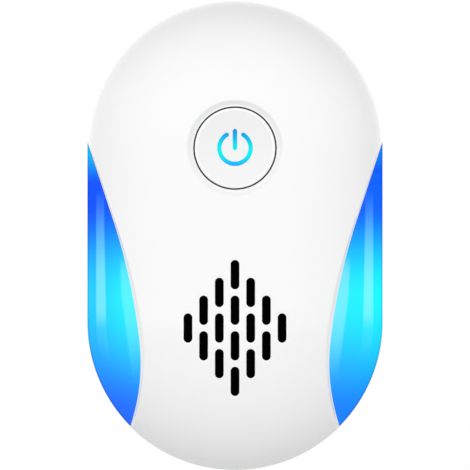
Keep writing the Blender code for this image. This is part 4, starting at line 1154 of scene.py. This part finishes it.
def make_materials():
    return {
        "white": white_plastic(),
        "cap": cap_plastic(),
        "panel": lit_panel(),
        "symbol": lit_symbol(),
        "led": lamp_epoxy(),
        "cloth": woven("black_cloth", (0.002, 0.002, 0.0024), 0.4 * MM),
        "foam": moulded("black_foam", (0.02, 0.02, 0.02), 0.95, 700.0, 0.3 * MM, 0.3),
        "black": moulded("black_plastic", (0.018, 0.018, 0.02), 0.42, 700.0, 0.05 * MM, 0.15),
        "paper": moulded("speaker_paper", (0.045, 0.045, 0.05), 0.85, 900.0, 0.2 * MM, 0.3),
        "brass": metal("piezo_brass", (0.78, 0.56, 0.22), 0.25),
        "ceramic": moulded("silvered_ceramic", (0.78, 0.76, 0.72), 0.45, 900.0, 0.05 * MM, 0.08),
        "board": board_laminate(),
        "sleeve": moulded("capacitor_sleeve", (0.02, 0.03, 0.12), 0.25, 500.0, 0.02 * MM, 0.15),
        "film": moulded("film_case", (0.5, 0.06, 0.03), 0.35, 600.0, 0.05 * MM, 0.12),
        "ferrite": moulded("ferrite", (0.035, 0.035, 0.04), 0.6, 900.0, 0.1 * MM, 0.3),
        "copper": wound_copper(),
        "varistor": moulded("varistor_coating", (0.03, 0.13, 0.42), 0.45, 500.0, 0.1 * MM, 0.12),
        "resistor": moulded("resistor_coating", (0.2, 0.42, 0.3), 0.5, 600.0, 0.1 * MM, 0.12),
        "nickel": metal("nickel_plate", (0.74, 0.71, 0.66), 0.2, (1.0, 0.08, 1.0), 900.0),
        "steel": metal("zinc_plate", (0.58, 0.59, 0.6), 0.3, (1.0, 1.0, 1.0), 700.0),
        "red": moulded("red_insulation", (0.5, 0.02, 0.015), 0.4, 600.0, 0.03 * MM, 0.1),
    }


def dress_cad_nodes(materials):
    """Each CAD node that still shows takes the material of its slot in the record."""
    for part in frame["record"]["subparts"]:
        node = frame["nodes"][part["node"]]
        node.data.materials.clear()
        node.data.materials.append(materials[part["material_slot"]].data)
        if not node.hide_render:
            smooth_by_angle(node, 33.0)


def file_piece(piece, body, slot, materials, node):
    """Gives a new piece its material and its body, and hides the CAD node that it stands for."""
    piece.data.materials.clear()
    piece.data.materials.append(materials[slot].data)
    for face in piece.data.polygons:
        face.material_index = 0
    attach(piece, body)
    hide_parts(node)


# ---------------------------------------------------------------- stage

def make_floor():
    bpy.ops.mesh.primitive_circle_add(vertices=96, radius=FLOOR_RADIUS, fill_type="NGON",
                                      location=(0.0, 0.0, REAR_LOW.z - FLOOR_DROP))
    floor = bpy.context.object
    floor.name = "studio_floor"
    material = Material("pale_floor", (0.86, 0.86, 0.86), 0.7)
    material.drive("Roughness", material.span(material.noise(30.0), 0.6, 0.8))
    floor.data.materials.append(material.data)


def make_world():
    """Soft light from all round, as a smooth function of direction, behind a white backdrop."""
    studio = bpy.data.worlds.new("studio")
    bpy.context.scene.world = studio
    studio.use_nodes = True
    tree = studio.node_tree
    background = tree.nodes["Background"]
    background.inputs["Color"].default_value = (1.0, 1.0, 1.0, 1.0)

    def combine(operation, *values):
        node = tree.nodes.new("ShaderNodeMath")
        node.operation = operation
        for socket, value in zip(node.inputs, values):
            if isinstance(value, (int, float)):
                socket.default_value = value
            else:
                tree.links.new(value, socket)
        return node.outputs["Value"]

    place = tree.nodes.new("ShaderNodeTexCoord")
    split = tree.nodes.new("ShaderNodeSeparateXYZ")
    tree.links.new(place.outputs["Generated"], split.inputs["Vector"])
    side, back, up = split.outputs
    light = combine("MULTIPLY_ADD", back, -LIGHT["front"], LIGHT["flat"])
    light = combine("MULTIPLY_ADD", side, -LIGHT["left"], light)
    light = combine("MULTIPLY_ADD", combine("MULTIPLY", side, side), LIGHT["both_sides"], light)
    light = combine("MULTIPLY_ADD", combine("MULTIPLY", up, up), LIGHT["above_and_below"], light)
    behind = combine("POWER", combine("MAXIMUM", back, 0.0), 3.0)
    light = combine("MAXIMUM", combine("MULTIPLY_ADD", behind, LIGHT["back_fill"], light), 0.0)
    path = tree.nodes.new("ShaderNodeLightPath")
    mix = tree.nodes.new("ShaderNodeMix")
    tree.links.new(path.outputs["Is Camera Ray"], mix.inputs["Factor"])
    tree.links.new(light, mix.inputs["A"])
    mix.inputs["B"].default_value = 1.0
    tree.links.new(mix.outputs["Result"], background.inputs["Strength"])


def make_camera():
    """A long lens straight in front, so that the view is almost without perspective."""
    frame_height = 2 * (END_RADIUS + HALF_STRAIGHT)
    data = bpy.data.cameras.new("camera")
    data.sensor_width = 36.0
    data.lens = data.sensor_width * (CAMERA_DISTANCE - DOME_START) / frame_height
    camera = bpy.data.objects.new("camera", data)
    camera.location = (0.0, -CAMERA_DISTANCE, MIDDLE_UP)
    camera.rotation_euler = (math.pi / 2, 0.0, 0.0)
    data.clip_start = 0.1
    data.clip_end = 20.0
    bpy.context.scene.collection.objects.link(camera)
    bpy.context.scene.camera = camera
    bpy.context.scene.view_settings.view_transform = "Standard"


def main():
    make_camera()
    make_world()
    make_floor()
    materials = make_materials()
    file_piece(front_cover(), "housing", "white", materials, "front_cover")
    file_piece(rear_cover(), "housing", "white", materials, "rear_cover")
    file_piece(light_panel(-1, "left_panel_shell"), "housing", "panel", materials, "left_light_panel")
    file_piece(light_panel(1, "right_panel_shell"), "housing", "panel", materials, "right_light_panel")
    file_piece(button_cap(), "button", "cap", materials, "button_cap")
    file_piece(symbol_lens(), "button", "symbol", materials, "button_symbol_lens")
    for number, place in enumerate(screw_places(), 1):
        file_piece(cover_screw(number, place), "housing", "steel", materials, f"cover_screw_{number}")
    dress_cad_nodes(materials)


main()
